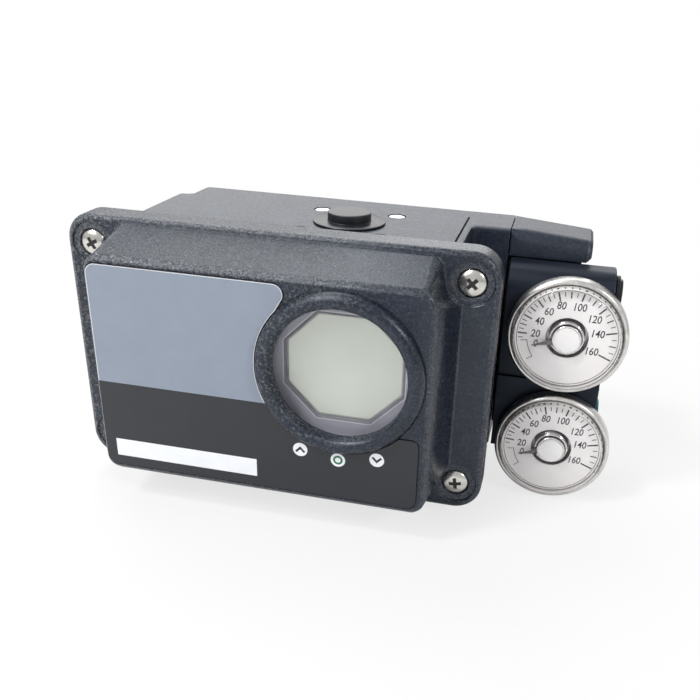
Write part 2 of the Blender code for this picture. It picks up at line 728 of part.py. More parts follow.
def make_lid_screws():
    """Four pan-head screws, which reach through the lid into the housing's corner bosses."""
    seat = -LID_RECESS_DEPTH - LID_COUNTERBORE_DEPTH + GAP
    top = seat + LID_SCREW_HEAD_HEIGHT
    profile = [(0.0, seat - LID_SCREW_LENGTH), (LID_SCREW_SHANK_RADIUS, seat - LID_SCREW_LENGTH),
               (LID_SCREW_SHANK_RADIUS, seat), (LID_SCREW_HEAD_RADIUS, seat),
               (LID_SCREW_HEAD_RADIUS, top - LID_SCREW_HEAD_HEIGHT / 2),
               (LID_SCREW_HEAD_RADIUS * 0.82, top - LID_SCREW_HEAD_HEIGHT / 5),
               (LID_SCREW_HEAD_RADIUS * 0.4, top), (0.0, top)]
    mesh = turned(profile, SMALL)
    for number, (x, z) in enumerate(lid_screw_places(), 1):
        smooth(place(f"lid_screw_{number}", mesh, BRIGHT_STEEL, (x, 0.0, z), TO_FRONT))


def make_window():
    """Seal ring, glass disc, display mask with its eight-sided opening, display and its board."""
    spot = (WINDOW_X, 0.0, WINDOW_Z)
    seal = tube(WINDOW_RADIUS + GAP, GLASS_RADIUS, -GLASS_FRONT + GAP, -GLASS_SEAT - GAP, FINE)
    smooth(place("window_seal", seal, BLACK_RUBBER, spot, TO_FRONT))
    glass = pin(GLASS_RADIUS, -GLASS_BACK, -GLASS_FRONT, FINE)
    smooth(place("window_glass", glass, GLASS, spot, TO_FRONT))
    mask = place("display_mask", pin(MASK_RADIUS, -MASK_FRONT - MASK_THICKNESS, -MASK_FRONT, FINE), MASK_GREY,
                 spot, TO_FRONT)
    cut(mask, tool(prism(octagon(0.0), along_y, MASK_FRONT - 1, MASK_FRONT + MASK_THICKNESS + 1)))
    smooth(mask)
    lcd = prism(octagon(LCD_PANEL_MARGIN), along_y, LCD_FRONT, LCD_FRONT + LCD_PANEL_THICKNESS)
    place("lcd_panel", lcd, LCD_GREY)
    half_w = DISPLAY_BOARD_WIDTH / 2
    half_h = DISPLAY_BOARD_HEIGHT / 2
    board = rounded(WINDOW_X - half_w, WINDOW_X + half_w, WINDOW_Z - half_h, WINDOW_Z + half_h, 2.0, 2)
    place("display_board", prism(board, along_y, DISPLAY_BOARD_FRONT, DISPLAY_BOARD_FRONT + BOARD_THICKNESS),
          BOARD_GREEN)
    key_top = WINDOW_Z - GLASS_BOSS_RADIUS - 2 * GAP
    keys = rectangle(WINDOW_X - KEY_BOARD_WIDTH / 2, WINDOW_X + KEY_BOARD_WIDTH / 2, key_top - KEY_BOARD_HEIGHT,
                     key_top)
    key_back = PANEL_INSIDE + GAP + BOARD_THICKNESS
    place("key_sensor_board", prism(keys, along_y, PANEL_INSIDE + GAP, key_back), BOARD_GREEN)


def octagon(margin):
    """The display's outline, a rectangle with its corners cut, grown by a margin."""
    half_w = LCD_WIDTH / 2 + margin
    half_h = LCD_HEIGHT / 2 + margin
    slant = LCD_CUT + margin * (2 - math.sqrt(2))
    corner = [(half_w, half_h - slant), (half_w - slant, half_h)]
    points = corner + [(-x, z) for x, z in reversed(corner)]
    points += [(-x, -z) for x, z in corner] + [(x, -z) for x, z in reversed(corner)]
    return [(WINDOW_X + x, WINDOW_Z + z) for x, z in points]


def label_outline(grow, radius):
    """The label's outline, grown by a margin: it follows a circle about the window at its inner side."""
    left = LABEL_MARGIN - PANEL_WIDTH / 2 - grow
    top = PANEL_HEIGHT / 2 - LABEL_TOP_MARGIN + grow
    bottom = -top
    right = LABEL_FOOT_X + grow
    foot = LABEL_FOOT_Z + grow
    shoulder = LABEL_SHOULDER_X + grow
    corner = LABEL_CORNER + grow
    small = LABEL_FOOT_CORNER + grow
    foot_angle = math.degrees(math.asin((foot - WINDOW_Z) / radius))
    shoulder_angle = 180 - math.degrees(math.asin((top - LABEL_SHOULDER_DROP - WINDOW_Z) / radius))
    points = arc((left + corner, bottom + corner), corner, 180, 270, 4)
    points += arc((right - corner, bottom + corner), corner, 270, 360, 4)
    points += arc((right - small, foot - small), small, 0, 90, 4)
    points += arc((WINDOW_X, WINDOW_Z), radius, foot_angle, shoulder_angle - 360, 26)
    points += arc((shoulder - corner, top - corner), corner, -20, 90, 5)
    points += arc((left + corner, top - corner), corner, 90, 180, 4)
    return points


def make_label():
    """The printed plate in the panel's pocket, to the left of the ring and below it."""
    back = PANEL_FRONT + LABEL_POCKET_DEPTH - GAP
    outline = label_outline(0.0, RING_RADIUS + GAP)
    place("front_label", prism(outline, along_y, back - LABEL_THICKNESS, back), LABEL_GREY)


def plan_outline(inset, front):
    """The housing's outline seen from above, with the stepped rear corner, inset by a wall."""
    left = HOUSING_LEFT + inset
    right = HOUSING_RIGHT - inset
    rear = HOUSING_REAR - inset
    step_x = HOUSING_LEFT + REAR_STEP + inset
    step_y = HOUSING_REAR - REAR_STEP_DEPTH - inset
    return [(left, front), (right, front), (right, rear), (step_x, rear), (step_x, step_y), (left, step_y)]


def make_housing():
    """The housing: a box open to the front, with its flange, side block, pads, bosses and rails."""
    body_plan = plan_outline(0.0, LID_SKIRT - 2)
    block_front = (SIDE_BLOCK_RIGHT, SIDE_BLOCK_FRONT)
    body_plan[2:3] = [(HOUSING_RIGHT, SIDE_BLOCK_FRONT), block_front, (SIDE_BLOCK_RIGHT, HOUSING_REAR)]
    body_plan = fillet_outline(body_plan, HOUSING_CORNER, sharp=(3, 4))
    body = prism(body_plan, along_z, -HALF_HEIGHT, HALF_HEIGHT, "housing")
    bevel_edges(body, rim_at(HALF_HEIGHT), HOUSING_EDGE)
    bevel_edges(body, rim_at(-HALF_HEIGHT), HOUSING_EDGE)
    housing = place("housing", body, BLACK_COAT)

    flange_w = LID_WIDTH / 2 - LID_SKIRT_WALL - GAP
    flange_h = LID_HEIGHT / 2 - LID_SKIRT_WALL - GAP
    flange = rounded(-flange_w, flange_w, -flange_h, flange_h, LID_CORNER - LID_SKIRT_WALL - GAP, 5)
    pad = rounded(TOP_PAD_LEFT, TOP_PAD_RIGHT, TOP_PAD_FRONT, TOP_PAD_REAR, 1.0, 2)
    mount_x = MOUNTING_PAD_WIDTH / 2
    mount_y = MOUNTING_PAD_DEPTH / 2
    pad_y = SHAFT_Y + MOUNTING_PAD_SETBACK
    mount = rounded(SHAFT_X - mount_x, SHAFT_X + mount_x, pad_y - mount_y, pad_y + mount_y, 4.0, 3)
    parts = [tool(prism(flange, along_y, HOUSING_FLANGE_FRONT, LID_SKIRT)),
             tool(prism(pad, along_z, HALF_HEIGHT - 1, TOP_FACE)),
             tool(prism(mount, along_z, PAD_FACE, 1 - HALF_HEIGHT))]
    for x, z in lid_screw_places():
        side = math.copysign(1.0, x)
        wall = HOUSING_RIGHT if side > 0 else -HOUSING_LEFT
        around = [(side * spot_x, spot_z) for spot_x, spot_z in arc((SCREW_X, z), SCREW_BOSS_RADIUS, -90, 90, 8)]
        root = wall - HOUSING_WALL / 2
        around += [(side * root, z + SCREW_BOSS_RADIUS), (side * root, z - SCREW_BOSS_RADIUS)]
        parts.append(tool(prism(around, along_y, LID_SKIRT - 1, LID_SKIRT + SCREW_BOSS_LENGTH)))
    for z in conduit_places():
        boss = pin(CONDUIT_BOSS_RADIUS, -1.0, CONDUIT_BOSS_REACH, ROUND)
        parts.append(tool(boss, (HOUSING_LEFT, CONDUIT_Y, z), TO_LEFT))
    join(housing, *parts)

    inner = HALF_HEIGHT - HOUSING_WALL
    cavity = prism(fillet_outline(plan_outline(HOUSING_WALL, 0.0), HOUSING_CORNER / 2, 2), along_z, -inner, inner)
    cut(housing, tool(cavity))
    rails = []
    for side_x, direction in ((HOUSING_LEFT + HOUSING_WALL, 1), (HOUSING_RIGHT - HOUSING_WALL, -1)):
        for level in (-1, 1):
            low_x, high_x = sorted((side_x - direction, side_x + direction * RAIL_SIZE))
            low_z, high_z = sorted((level * (inner + 1), level * (inner - RAIL_SIZE)))
            rail = rectangle(low_x, high_x, low_z, high_z)
            rails.append(tool(prism(rail, along_y, MAIN_BOARD_Y + BOARD_THICKNESS + GAP, CONDUIT_Y - RAIL_SETBACK)))
    join(housing, *rails)

    shaft = (SHAFT_X, SHAFT_Y, 0.0)
    cap_bore = CAP_KNOB_RADIUS + GAP
    floor = -HALF_HEIGHT + HOUSING_WALL + 1
    lower = [(0.0, PAD_FACE - 1), (PILOT_RADIUS, PAD_FACE - 1), (PILOT_RADIUS, PAD_FACE + PILOT_DEPTH),
             (BUSH_BORE, PAD_FACE + PILOT_DEPTH), (BUSH_BORE, floor), (0.0, floor)]
    borings = [tool(turned(lower, ROUND), shaft),
               tool(pin(cap_bore, HALF_HEIGHT - HOUSING_WALL - 1, TOP_FACE + 1, ROUND), shaft)]
    for side in (-1, 1):
        for level in (-1, 1):
            hole = pin(MOUNTING_HOLE_RADIUS, PAD_FACE - 1, PAD_FACE + MOUNTING_HOLE_DEPTH, 16)
            borings.append(tool(hole, (SHAFT_X + side * MOUNTING_HOLE_SPAN_X / 2,
                                       SHAFT_Y + level * MOUNTING_HOLE_SPAN_Y / 2, 0.0)))
            socket = pin(INSERT_RADIUS + GAP, TOP_FACE - INSERT_SINK - INSERT_LENGTH - GAP, TOP_FACE + 1, 16)
            borings.append(tool(socket, insert_place(side, level)))
    for x, z in lid_screw_places():
        hole = pin(LID_SCREW_SHANK_RADIUS + GAP, -LID_SCREW_LENGTH - LID_FACE, 0.0, 12)
        borings.append(tool(hole, (x, 0.0, z), TO_FRONT))
    for y, z in manifold_screw_places():
        hole = pin(MANIFOLD_SCREW_SHANK_RADIUS + GAP, -MANIFOLD_SCREW_GRIP - GAP, 1.0, 12)
        borings.append(tool(hole, (SIDE_BLOCK_RIGHT, y, z), TO_RIGHT))
    for z in conduit_places():
        bore = pin(CONDUIT_BORE_RADIUS, -HOUSING_WALL - 2, CONDUIT_BOSS_REACH + 1, ROUND)
        borings.append(tool(bore, (HOUSING_LEFT, CONDUIT_Y, z), TO_LEFT))
    earth = pin(EARTH_SCREW_SHANK_RADIUS + GAP, -HOUSING_WALL - 1, 1.0, 12)
    borings.append(tool(earth, (HOUSING_LEFT + REAR_STEP, EARTH_SCREW_Y, EARTH_SCREW_Z), TO_LEFT))
    cut(housing, gather(*borings))
    return smooth(housing)


def conduit_places():
    """Heights of the two conduit entries."""
    return (CONDUIT_SPAN / 2, -CONDUIT_SPAN / 2)


def insert_place(side, level):
    """The place of one of the four threaded inserts round the top cap."""
    return (SHAFT_X + side * INSERT_SPAN_X / 2, SHAFT_Y + level * INSERT_SPAN_Y / 2, 0.0)


def manifold_screw_places():
    """The (y, z) places of the manifold's three screws, clear of its ports and its spool bore."""
    middle = (MANIFOLD_TOP + MANIFOLD_BOTTOM) / 2
    low = middle - MANIFOLD_SCREW_SPAN_Z / 2
    return [(MANIFOLD_SCREW_REAR_Y, middle + MANIFOLD_SCREW_SPAN_Z / 2), (MANIFOLD_SCREW_REAR_Y, low),
            (MANIFOLD_SCREW_REAR_Y - MANIFOLD_SCREW_SPAN_Y, low)]


def make_lid_gasket():
    """A flat gasket ring between the lid's inside and the housing's front face."""
    outer_w = HOUSING_RIGHT + GASKET_INSET
    outer_h = HALF_HEIGHT - GASKET_INSET
    inner_w = outer_w - GASKET_WIDTH
    inner_h = outer_h - GASKET_WIDTH
    front = LID_FACE + GAP
    ring = prism(rounded(-outer_w, outer_w, -outer_h, outer_h, 3.0, 3), along_y, front, front + GASKET_THICKNESS)
    gasket = place("lid_gasket", ring, BLACK_RUBBER)
    hole = prism(rounded(-inner_w, inner_w, -inner_h, inner_h, 2.0, 3), along_y, front - 1, front + 2)
    cut(gasket, tool(hole))


def make_top_fittings():
    """The cap over the shaft's top end and the four bright inserts round it."""
    base = TOP_FACE + GAP
    disc_top = base + CAP_DISC_THICKNESS
    top = disc_top + CAP_KNOB_HEIGHT
    profile = [(0.0, TOP_FACE - CAP_SPIGOT_DEPTH), (CAP_KNOB_RADIUS, TOP_FACE - CAP_SPIGOT_DEPTH),
               (CAP_KNOB_RADIUS, base), (CAP_DISC_RADIUS, base), (CAP_DISC_RADIUS, disc_top - CAP_CHAMFER / 2),
               (CAP_DISC_RADIUS - CAP_CHAMFER / 2, disc_top), (CAP_KNOB_RADIUS, disc_top),
               (CAP_KNOB_RADIUS, top - CAP_CHAMFER), (CAP_KNOB_RADIUS - CAP_CHAMFER, top), (0.0, top)]
    smooth(place("top_cap", turned(profile, FINE), BLACK_PLASTIC, (SHAFT_X, SHAFT_Y, 0.0)))
    high = TOP_FACE - INSERT_SINK
    insert = pin(INSERT_RADIUS, high - INSERT_LENGTH, high, SMALL)
    number = 1
    for level in (1, -1):
        for side in (-1, 1):
            smooth(place(f"top_insert_{number}", insert, BRIGHT_STEEL, insert_place(side, level)))
            number += 1


def involute_gear(teeth, width, bore, hub_radius, hub_length, gap_first):
    """A spur gear on the local Z axis from z = 0 to its width, with a hub above it and a bore."""
    pitch = GEAR_MODULE * teeth / 2
    base = pitch * math.cos(math.radians(PRESSURE_ANGLE))
    tip = pitch + 0.85 * GEAR_MODULE
    root = pitch - 1.15 * GEAR_MODULE
    half_tooth = math.pi / (2 * teeth) - GEAR_BACKLASH / (2 * pitch)

    def roll(radius):
        angle = math.acos(min(1.0, base / radius))
        return math.tan(angle) - angle

    flank = []
    for radius in np.linspace(max(base, root), tip, 4):
        flank.append((float(radius), half_tooth + roll(pitch) - roll(float(radius))))
    if root < base:
        flank.insert(0, (root, flank[0][1]))
    outline = []
    for index in range(teeth):
        middle = math.tau * (index + (0.5 if gap_first else 0.0)) / teeth
        for radius, half in flank:
            outline.append((radius * math.cos(middle - half), radius * math.sin(middle - half)))
        for radius, half in reversed(flank):
            outline.append((radius * math.cos(middle + half), radius * math.sin(middle + half)))
    gear = place("gear", prism(outline, along_z, 0.0, width), None)
    join(gear, tool(pin(hub_radius, width - 1, width + hub_length, ROUND)))
    if bore > 0.0:
        cut(gear, tool(pin(bore, -1.0, width + hub_length + 1, SMALL)))
    mesh = gear.data
    bpy.data.objects.remove(gear)
    return mesh


def make_shaft():
    """The feedback shaft with its tang, bushes, circlip, gear, and the angle sensor that it drives."""
    spot = (SHAFT_X, SHAFT_Y, 0.0)
    low = PAD_FACE + SHAFT_TIP_CLEARANCE
    top = TOP_FACE - CAP_SPIGOT_DEPTH - GAP
    shaft = place("feedback_shaft", pin(SHAFT_RADIUS, low, top, SMALL, CAP_CHAMFER), BRIGHT_STEEL, spot)
    tang_top = PAD_FACE + PILOT_DEPTH - CIRCLIP_THICKNESS - GAP
    for side in (-1, 1):
        low_y, high_y = sorted((side * TANG_THICKNESS / 2, side * (SHAFT_RADIUS + 1)))
        flat = rectangle(-SHAFT_RADIUS - 1, SHAFT_RADIUS + 1, low_y, high_y)
        cut(shaft, tool(prism(flat, along_z, low - 1, tang_top), spot))
    smooth(shaft)

    floor = HOUSING_WALL - HALF_HEIGHT
    lower_low = PAD_FACE + PILOT_DEPTH
    lower = [(SHAFT_RADIUS + RUNNING, lower_low), (BUSH_RADIUS, lower_low), (BUSH_RADIUS, floor + GAP),
             (BUSH_FLANGE_RADIUS, floor + GAP), (BUSH_FLANGE_RADIUS, floor + GAP + BUSH_FLANGE_THICKNESS),
             (SHAFT_RADIUS + RUNNING, floor + GAP + BUSH_FLANGE_THICKNESS)]
    smooth(place("shaft_bush_lower", turned(lower, ROUND, closed=True), BRONZE, spot))
    cap_end = TOP_FACE - CAP_SPIGOT_DEPTH - GAP
    upper_low = HALF_HEIGHT - HOUSING_WALL - GAP - BUSH_FLANGE_THICKNESS
    upper = [(SHAFT_RADIUS + RUNNING, upper_low), (BUSH_FLANGE_RADIUS, upper_low),
             (BUSH_FLANGE_RADIUS, upper_low + BUSH_FLANGE_THICKNESS), (CAP_KNOB_RADIUS,
             upper_low + BUSH_FLANGE_THICKNESS), (CAP_KNOB_RADIUS, cap_end), (SHAFT_RADIUS + RUNNING, cap_end)]
    smooth(place("shaft_bush_upper", turned(upper, ROUND, closed=True), BRONZE, spot))
    clip_top = lower_low - GAP
    clip = tube(SHAFT_RADIUS + GAP, CIRCLIP_RADIUS, clip_top - CIRCLIP_THICKNESS, clip_top, ROUND)
    smooth(place("shaft_circlip", clip, BRIGHT_STEEL, spot))

    gear = involute_gear(GEAR_TEETH, GEAR_WIDTH, SHAFT_RADIUS + GAP, HUB_RADIUS, HUB_LENGTH, False)
    place("shaft_gear", gear, NYLON, (SHAFT_X, SHAFT_Y, GEAR_HEIGHT))
    pinion = involute_gear(PINION_TEETH, GEAR_WIDTH, 0.0, PINION_SHAFT_RADIUS, PINION_SHAFT_LENGTH, True)
    place("sensor_pinion", pinion, NYLON, (SENSOR_X, SHAFT_Y, GEAR_HEIGHT))
    body_low = GEAR_HEIGHT + GEAR_WIDTH + 2 * GAP
    bore_top = GEAR_HEIGHT + GEAR_WIDTH + PINION_SHAFT_LENGTH + GAP
    body = [(0.0, bore_top), (PINION_SHAFT_RADIUS + RUNNING, bore_top), (PINION_SHAFT_RADIUS + RUNNING, body_low),
            (SENSOR_RADIUS, body_low), (SENSOR_RADIUS, body_low + SENSOR_LENGTH), (0.0, body_low + SENSOR_LENGTH)]
    smooth(place("angle_sensor", turned(body, ROUND), BLACK_PLASTIC, (SENSOR_X, SHAFT_Y, 0.0)))
    plate_low = body_low + SENSOR_LENGTH + GAP
    plate_top = plate_low + BRACKET_THICKNESS
    rear = HOUSING_REAR - HOUSING_WALL - GAP
    front = SHAFT_Y - SENSOR_RADIUS
    profile = [(front, plate_low), (rear - BRACKET_THICKNESS, plate_low), (rear - BRACKET_THICKNESS,
               plate_low - BRACKET_TAB), (rear, plate_low - BRACKET_TAB), (rear, plate_top), (front, plate_top)]
    bracket = prism(profile, along_x, SENSOR_X - BRACKET_WIDTH / 2, SENSOR_X + BRACKET_WIDTH / 2)
    place("sensor_bracket", bracket, BRIGHT_STEEL)


def make_electronics():
    """The main board on the housing's rails, the terminal block on it and the current-to-pressure unit."""
    middle_x = (HOUSING_LEFT + HOUSING_RIGHT) / 2
    half_w = BOARD_WIDTH / 2
    half_h = BOARD_HEIGHT / 2
    outline = rounded(middle_x - half_w, middle_x + half_w, -half_h, half_h, 2.0, 2)
    place("main_board", prism(outline, along_y, MAIN_BOARD_Y, MAIN_BOARD_Y + BOARD_THICKNESS), BOARD_GREEN)
    front = MAIN_BOARD_Y - GAP - TERMINAL_DEPTH
    back = MAIN_BOARD_Y - GAP
    left = TERMINAL_X - TERMINAL_WIDTH / 2
    block = place("terminal_block", prism(rectangle(left, left + TERMINAL_WIDTH, TERMINAL_Z - TERMINAL_HEIGHT / 2,
                  TERMINAL_Z + TERMINAL_HEIGHT / 2), along_y, front, back), BLACK_PLASTIC)
    pitch = TERMINAL_WIDTH / TERMINAL_POLES
    for pole in range(TERMINAL_POLES):
        well = pin(pitch * 0.32, -front - TERMINAL_DEPTH / 2, -front + 1, 10)
        cut(block, tool(well, (left + pitch * (pole + 0.5), 0.0, TERMINAL_Z), TO_FRONT))
    rear = HOUSING_REAR - HOUSING_WALL - GAP
    body = rounded(CONVERTER_X - CONVERTER_WIDTH / 2, CONVERTER_X + CONVERTER_WIDTH / 2,
                   CONVERTER_Z - CONVERTER_HEIGHT / 2, CONVERTER_Z + CONVERTER_HEIGHT / 2, 2.0, 2)
    converter = place("current_to_pressure_unit", prism(body, along_y, rear - CONVERTER_DEPTH, rear), BRIGHT_STEEL)
    coil_back = rear - CONVERTER_DEPTH
    coil = pin(COIL_RADIUS, -coil_back - 1, COIL_LENGTH - coil_back, ROUND, CAP_CHAMFER)
    join(converter, tool(coil, (CONVERTER_X, 0.0, CONVERTER_Z), TO_FRONT))
    smooth(converter)


def make_conduit_and_earth():
    """Blanking plugs in the two conduit entries, with hexagon sockets, and the earth screw."""
    base = CONDUIT_BOSS_REACH + GAP
    top = base + CONDUIT_PLUG_HEAD_HEIGHT
    radius = CONDUIT_BORE_RADIUS - GAP
    profile = [(0.0, base - CONDUIT_PLUG_LENGTH), (radius, base - CONDUIT_PLUG_LENGTH), (radius, base),
               (CONDUIT_PLUG_HEAD_RADIUS, base), (CONDUIT_PLUG_HEAD_RADIUS, top - CAP_CHAMFER),
               (CONDUIT_PLUG_HEAD_RADIUS - CAP_CHAMFER, top), (0.0, top)]
    for number, z in enumerate(conduit_places(), 1):
        plug = place(f"conduit_plug_{number}", turned(profile, ROUND), BLACK_PLASTIC,
                     (HOUSING_LEFT, CONDUIT_Y, z), TO_LEFT)
        socket = pin(radius / 2, top - HEX_SOCKET_DEPTH, top + 1, 6)
        cut(plug, tool(socket, (HOUSING_LEFT, CONDUIT_Y, z), TO_LEFT))
        smooth(plug)
    screw = [(0.0, -EARTH_SCREW_SHANK_LENGTH), (EARTH_SCREW_SHANK_RADIUS, -EARTH_SCREW_SHANK_LENGTH),
             (EARTH_SCREW_SHANK_RADIUS, GAP), (EARTH_SCREW_RADIUS, GAP),
             (EARTH_SCREW_RADIUS, EARTH_SCREW_HEAD * 0.6), (EARTH_SCREW_RADIUS * 0.7, EARTH_SCREW_HEAD),
             (0.0, EARTH_SCREW_HEAD)]
    smooth(place("earth_screw", turned(screw, SMALL), BRASS,
                 (HOUSING_LEFT + REAR_STEP, EARTH_SCREW_Y, EARTH_SCREW_Z), TO_LEFT))


def make_manifold():
    """The manifold block with gauge pockets, ports and spool bore, its gasket and three screws."""
    rear = MANIFOLD_FRONT + MANIFOLD_DEPTH
    section = [(rear, MANIFOLD_BOTTOM), (rear, MANIFOLD_TOP)]
    crown = (MANIFOLD_FRONT + MANIFOLD_TOP_RADIUS, MANIFOLD_TOP - MANIFOLD_TOP_RADIUS)
    section += arc(crown, MANIFOLD_TOP_RADIUS, 90, 180, 6)
    for level in (1, -1):
        start = MANIFOLD_GROOVE_Z + level * MANIFOLD_GROOVE_WIDTH / 2
        deep = (MANIFOLD_FRONT + MANIFOLD_GROOVE_DEPTH, start)
        edge = (MANIFOLD_FRONT, start)
        section += [edge, deep] if level > 0 else [deep, edge]
    section.append((MANIFOLD_FRONT, MANIFOLD_BOTTOM))
    mesh = prism(section, along_x, MANIFOLD_LEFT + MANIFOLD_STEP, MANIFOLD_RIGHT, "manifold")

    def right_rim(edge):
        return all(abs(vert.co.x - MANIFOLD_RIGHT * MM) < 1e-6 for vert in edge.verts)

    bevel_edges(mesh, right_rim, MANIFOLD_EDGE)
    manifold = place("manifold", mesh, BLACK_COAT)
    body = rounded(MANIFOLD_LEFT, RELAY_RIGHT, rear - 2, RELAY_REAR, MANIFOLD_EDGE, 2)
    body_top = MANIFOLD_TOP - MANIFOLD_STEP
    relay = prism(body, along_z, MANIFOLD_BOTTOM + MANIFOLD_STEP, body_top)
    half = HOOD_POST_WIDTH / 2
    post_rear = HOOD_REAR - HOOD_WALL - HOUSING_EDGE / 2 - GAP
    post = rectangle(HOOD_SCREW_X - half, HOOD_SCREW_X + half, post_rear - HOOD_POST_DEPTH, post_rear)
    post = prism(post, along_z, body_top - 1, body_top + HOOD_POST_HEIGHT)
    join(manifold, tool(relay), tool(post))
    borings = []
    for z in GAUGE_Z:
        pocket = pin(STEM_RADIUS + GAP, -POCKET_FLOOR, -MANIFOLD_FRONT + 1, SMALL)
        borings.append(tool(pocket, (GAUGE_X, 0.0, z), TO_FRONT))
    for z in (PORT_UPPER_Z, PORT_LOWER_Z):
        port = pin(PORT_BORE_RADIUS, -PORT_PLUG_LENGTH - GAP, 1.0, ROUND)
        borings.append(tool(port, (MANIFOLD_RIGHT, PORT_Y, z), TO_RIGHT))
    bore = pin(SPOOL_BORE_RADIUS, -SPOOL_BORE_LENGTH, 1.0, ROUND)
    borings.append(tool(bore, (RELAY_RIGHT, SPOOL_Y, SPOOL_Z), TO_RIGHT))
    head = MANIFOLD_SCREW_HEAD_HEIGHT + GAP
    far = MANIFOLD_LEFT - RELAY_RIGHT - 1
    counterbore = [(0.0, far), (MANIFOLD_SCREW_SHANK_RADIUS + GAP, far), (MANIFOLD_SCREW_SHANK_RADIUS + GAP, -head),
                   (MANIFOLD_SCREW_HEAD_RADIUS + GAP, -head), (MANIFOLD_SCREW_HEAD_RADIUS + GAP, 1.0), (0.0, 1.0)]
    for y, z in manifold_screw_places():
        borings.append(tool(turned(counterbore, SMALL), (RELAY_RIGHT, y, z), TO_RIGHT))
    screw_hole = pin(HOOD_SCREW_RADIUS / 2 + GAP, HOOD_REAR - HOOD_SCREW_LENGTH - GAP, HOOD_REAR, 12)
    borings.append(tool(screw_hole, (HOOD_SCREW_X, 0.0, HOOD_SCREW_Z), TO_BACK))
    cut(manifold, gather(*borings))
    smooth(manifold)

    inset = MANIFOLD_GASKET_INSET
    low_y = SIDE_BLOCK_FRONT + inset
    high_y = RELAY_REAR - inset
    low = SIDE_BLOCK_RIGHT + GAP
    sheet = prism(rounded(low_y, high_y, MANIFOLD_BOTTOM + inset, MANIFOLD_TOP - inset, 2.0, 2), along_x,
                  low, low + MANIFOLD_GASKET_THICKNESS)
    gasket = place("manifold_gasket", sheet, BLACK_RUBBER)
    length = MANIFOLD_SCREW_GRIP + RELAY_RIGHT - SIDE_BLOCK_RIGHT
    seat = -MANIFOLD_SCREW_HEAD_HEIGHT
    profile = [(0.0, -length), (MANIFOLD_SCREW_SHANK_RADIUS, -length), (MANIFOLD_SCREW_SHANK_RADIUS, seat),
               (MANIFOLD_SCREW_HEAD_RADIUS, seat), (MANIFOLD_SCREW_HEAD_RADIUS, -CAP_CHAMFER),
               (MANIFOLD_SCREW_HEAD_RADIUS - CAP_CHAMFER, 0.0), (0.0, 0.0)]
    for number, (y, z) in enumerate(manifold_screw_places(), 1):
        cut(gasket, tool(pin(MANIFOLD_SCREW_SHANK_RADIUS + GAP, -1.0, 1.0, 12), (low, y, z), TO_RIGHT))
        screw = place(f"manifold_screw_{number}", turned(profile, SMALL), BRIGHT_STEEL,
                      (RELAY_RIGHT, y, z), TO_RIGHT)
        socket = pin(MANIFOLD_SCREW_HEAD_RADIUS / 2, -MANIFOLD_SCREW_HEAD_HEIGHT / 2, 1.0, 6)
        cut(screw, tool(socket, (RELAY_RIGHT, y, z), TO_RIGHT))
        smooth(screw)


def make_port_plugs():
    """Blanking plugs in the manifold's ports: collar and plain shank, with a knob at the output."""
    top = GAP + PORT_PLUG_KNOB
    radius = PORT_BORE_RADIUS - GAP
    profile = [(0.0, -PORT_PLUG_LENGTH), (radius, -PORT_PLUG_LENGTH), (radius, GAP), (PORT_PLUG_COLLAR_RADIUS, GAP),
               (PORT_PLUG_COLLAR_RADIUS, GAP + PORT_PLUG_COLLAR), (PORT_PLUG_KNOB_RADIUS, GAP + PORT_PLUG_COLLAR),
               (PORT_PLUG_KNOB_RADIUS, top - CAP_CHAMFER), (PORT_PLUG_KNOB_RADIUS - CAP_CHAMFER, top), (0.0, top)]
    flush = profile[:4] + [(PORT_PLUG_COLLAR_RADIUS, GAP + PORT_PLUG_COLLAR / 2),
                           (PORT_PLUG_COLLAR_RADIUS - CAP_CHAMFER, GAP + PORT_PLUG_COLLAR * 0.7),
                           (0.0, GAP + PORT_PLUG_COLLAR * 0.7)]
    for name, z, outline, material in (("output_port_plug", PORT_UPPER_Z, profile, BLACK_PLASTIC),
                                       ("supply_port_plug", PORT_LOWER_Z, flush, TEAL)):
        smooth(place(name, turned(outline, ROUND), material, (MANIFOLD_RIGHT, PORT_Y, z), TO_RIGHT))


def helix(radius, low, high, turns, wire, sides, per_turn, name):
    """A round wire wound about the local Z axis, with flat ends."""
    steps = int(round(turns * per_turn))
    sections = []
    for step in range(steps + 1):
        angle = math.tau * turns * step / steps
        outward = Vector((math.cos(angle), math.sin(angle), 0.0))
        middle = outward * radius + Vector((0.0, 0.0, low + (high - low) * step / steps))
        section = []
        for side in range(sides):
            around = math.tau * side / sides
            section.append(middle + wire * (outward * math.cos(around) + Vector((0.0, 0.0, math.sin(around)))))
        sections.append(section)
    return loft(sections, name)


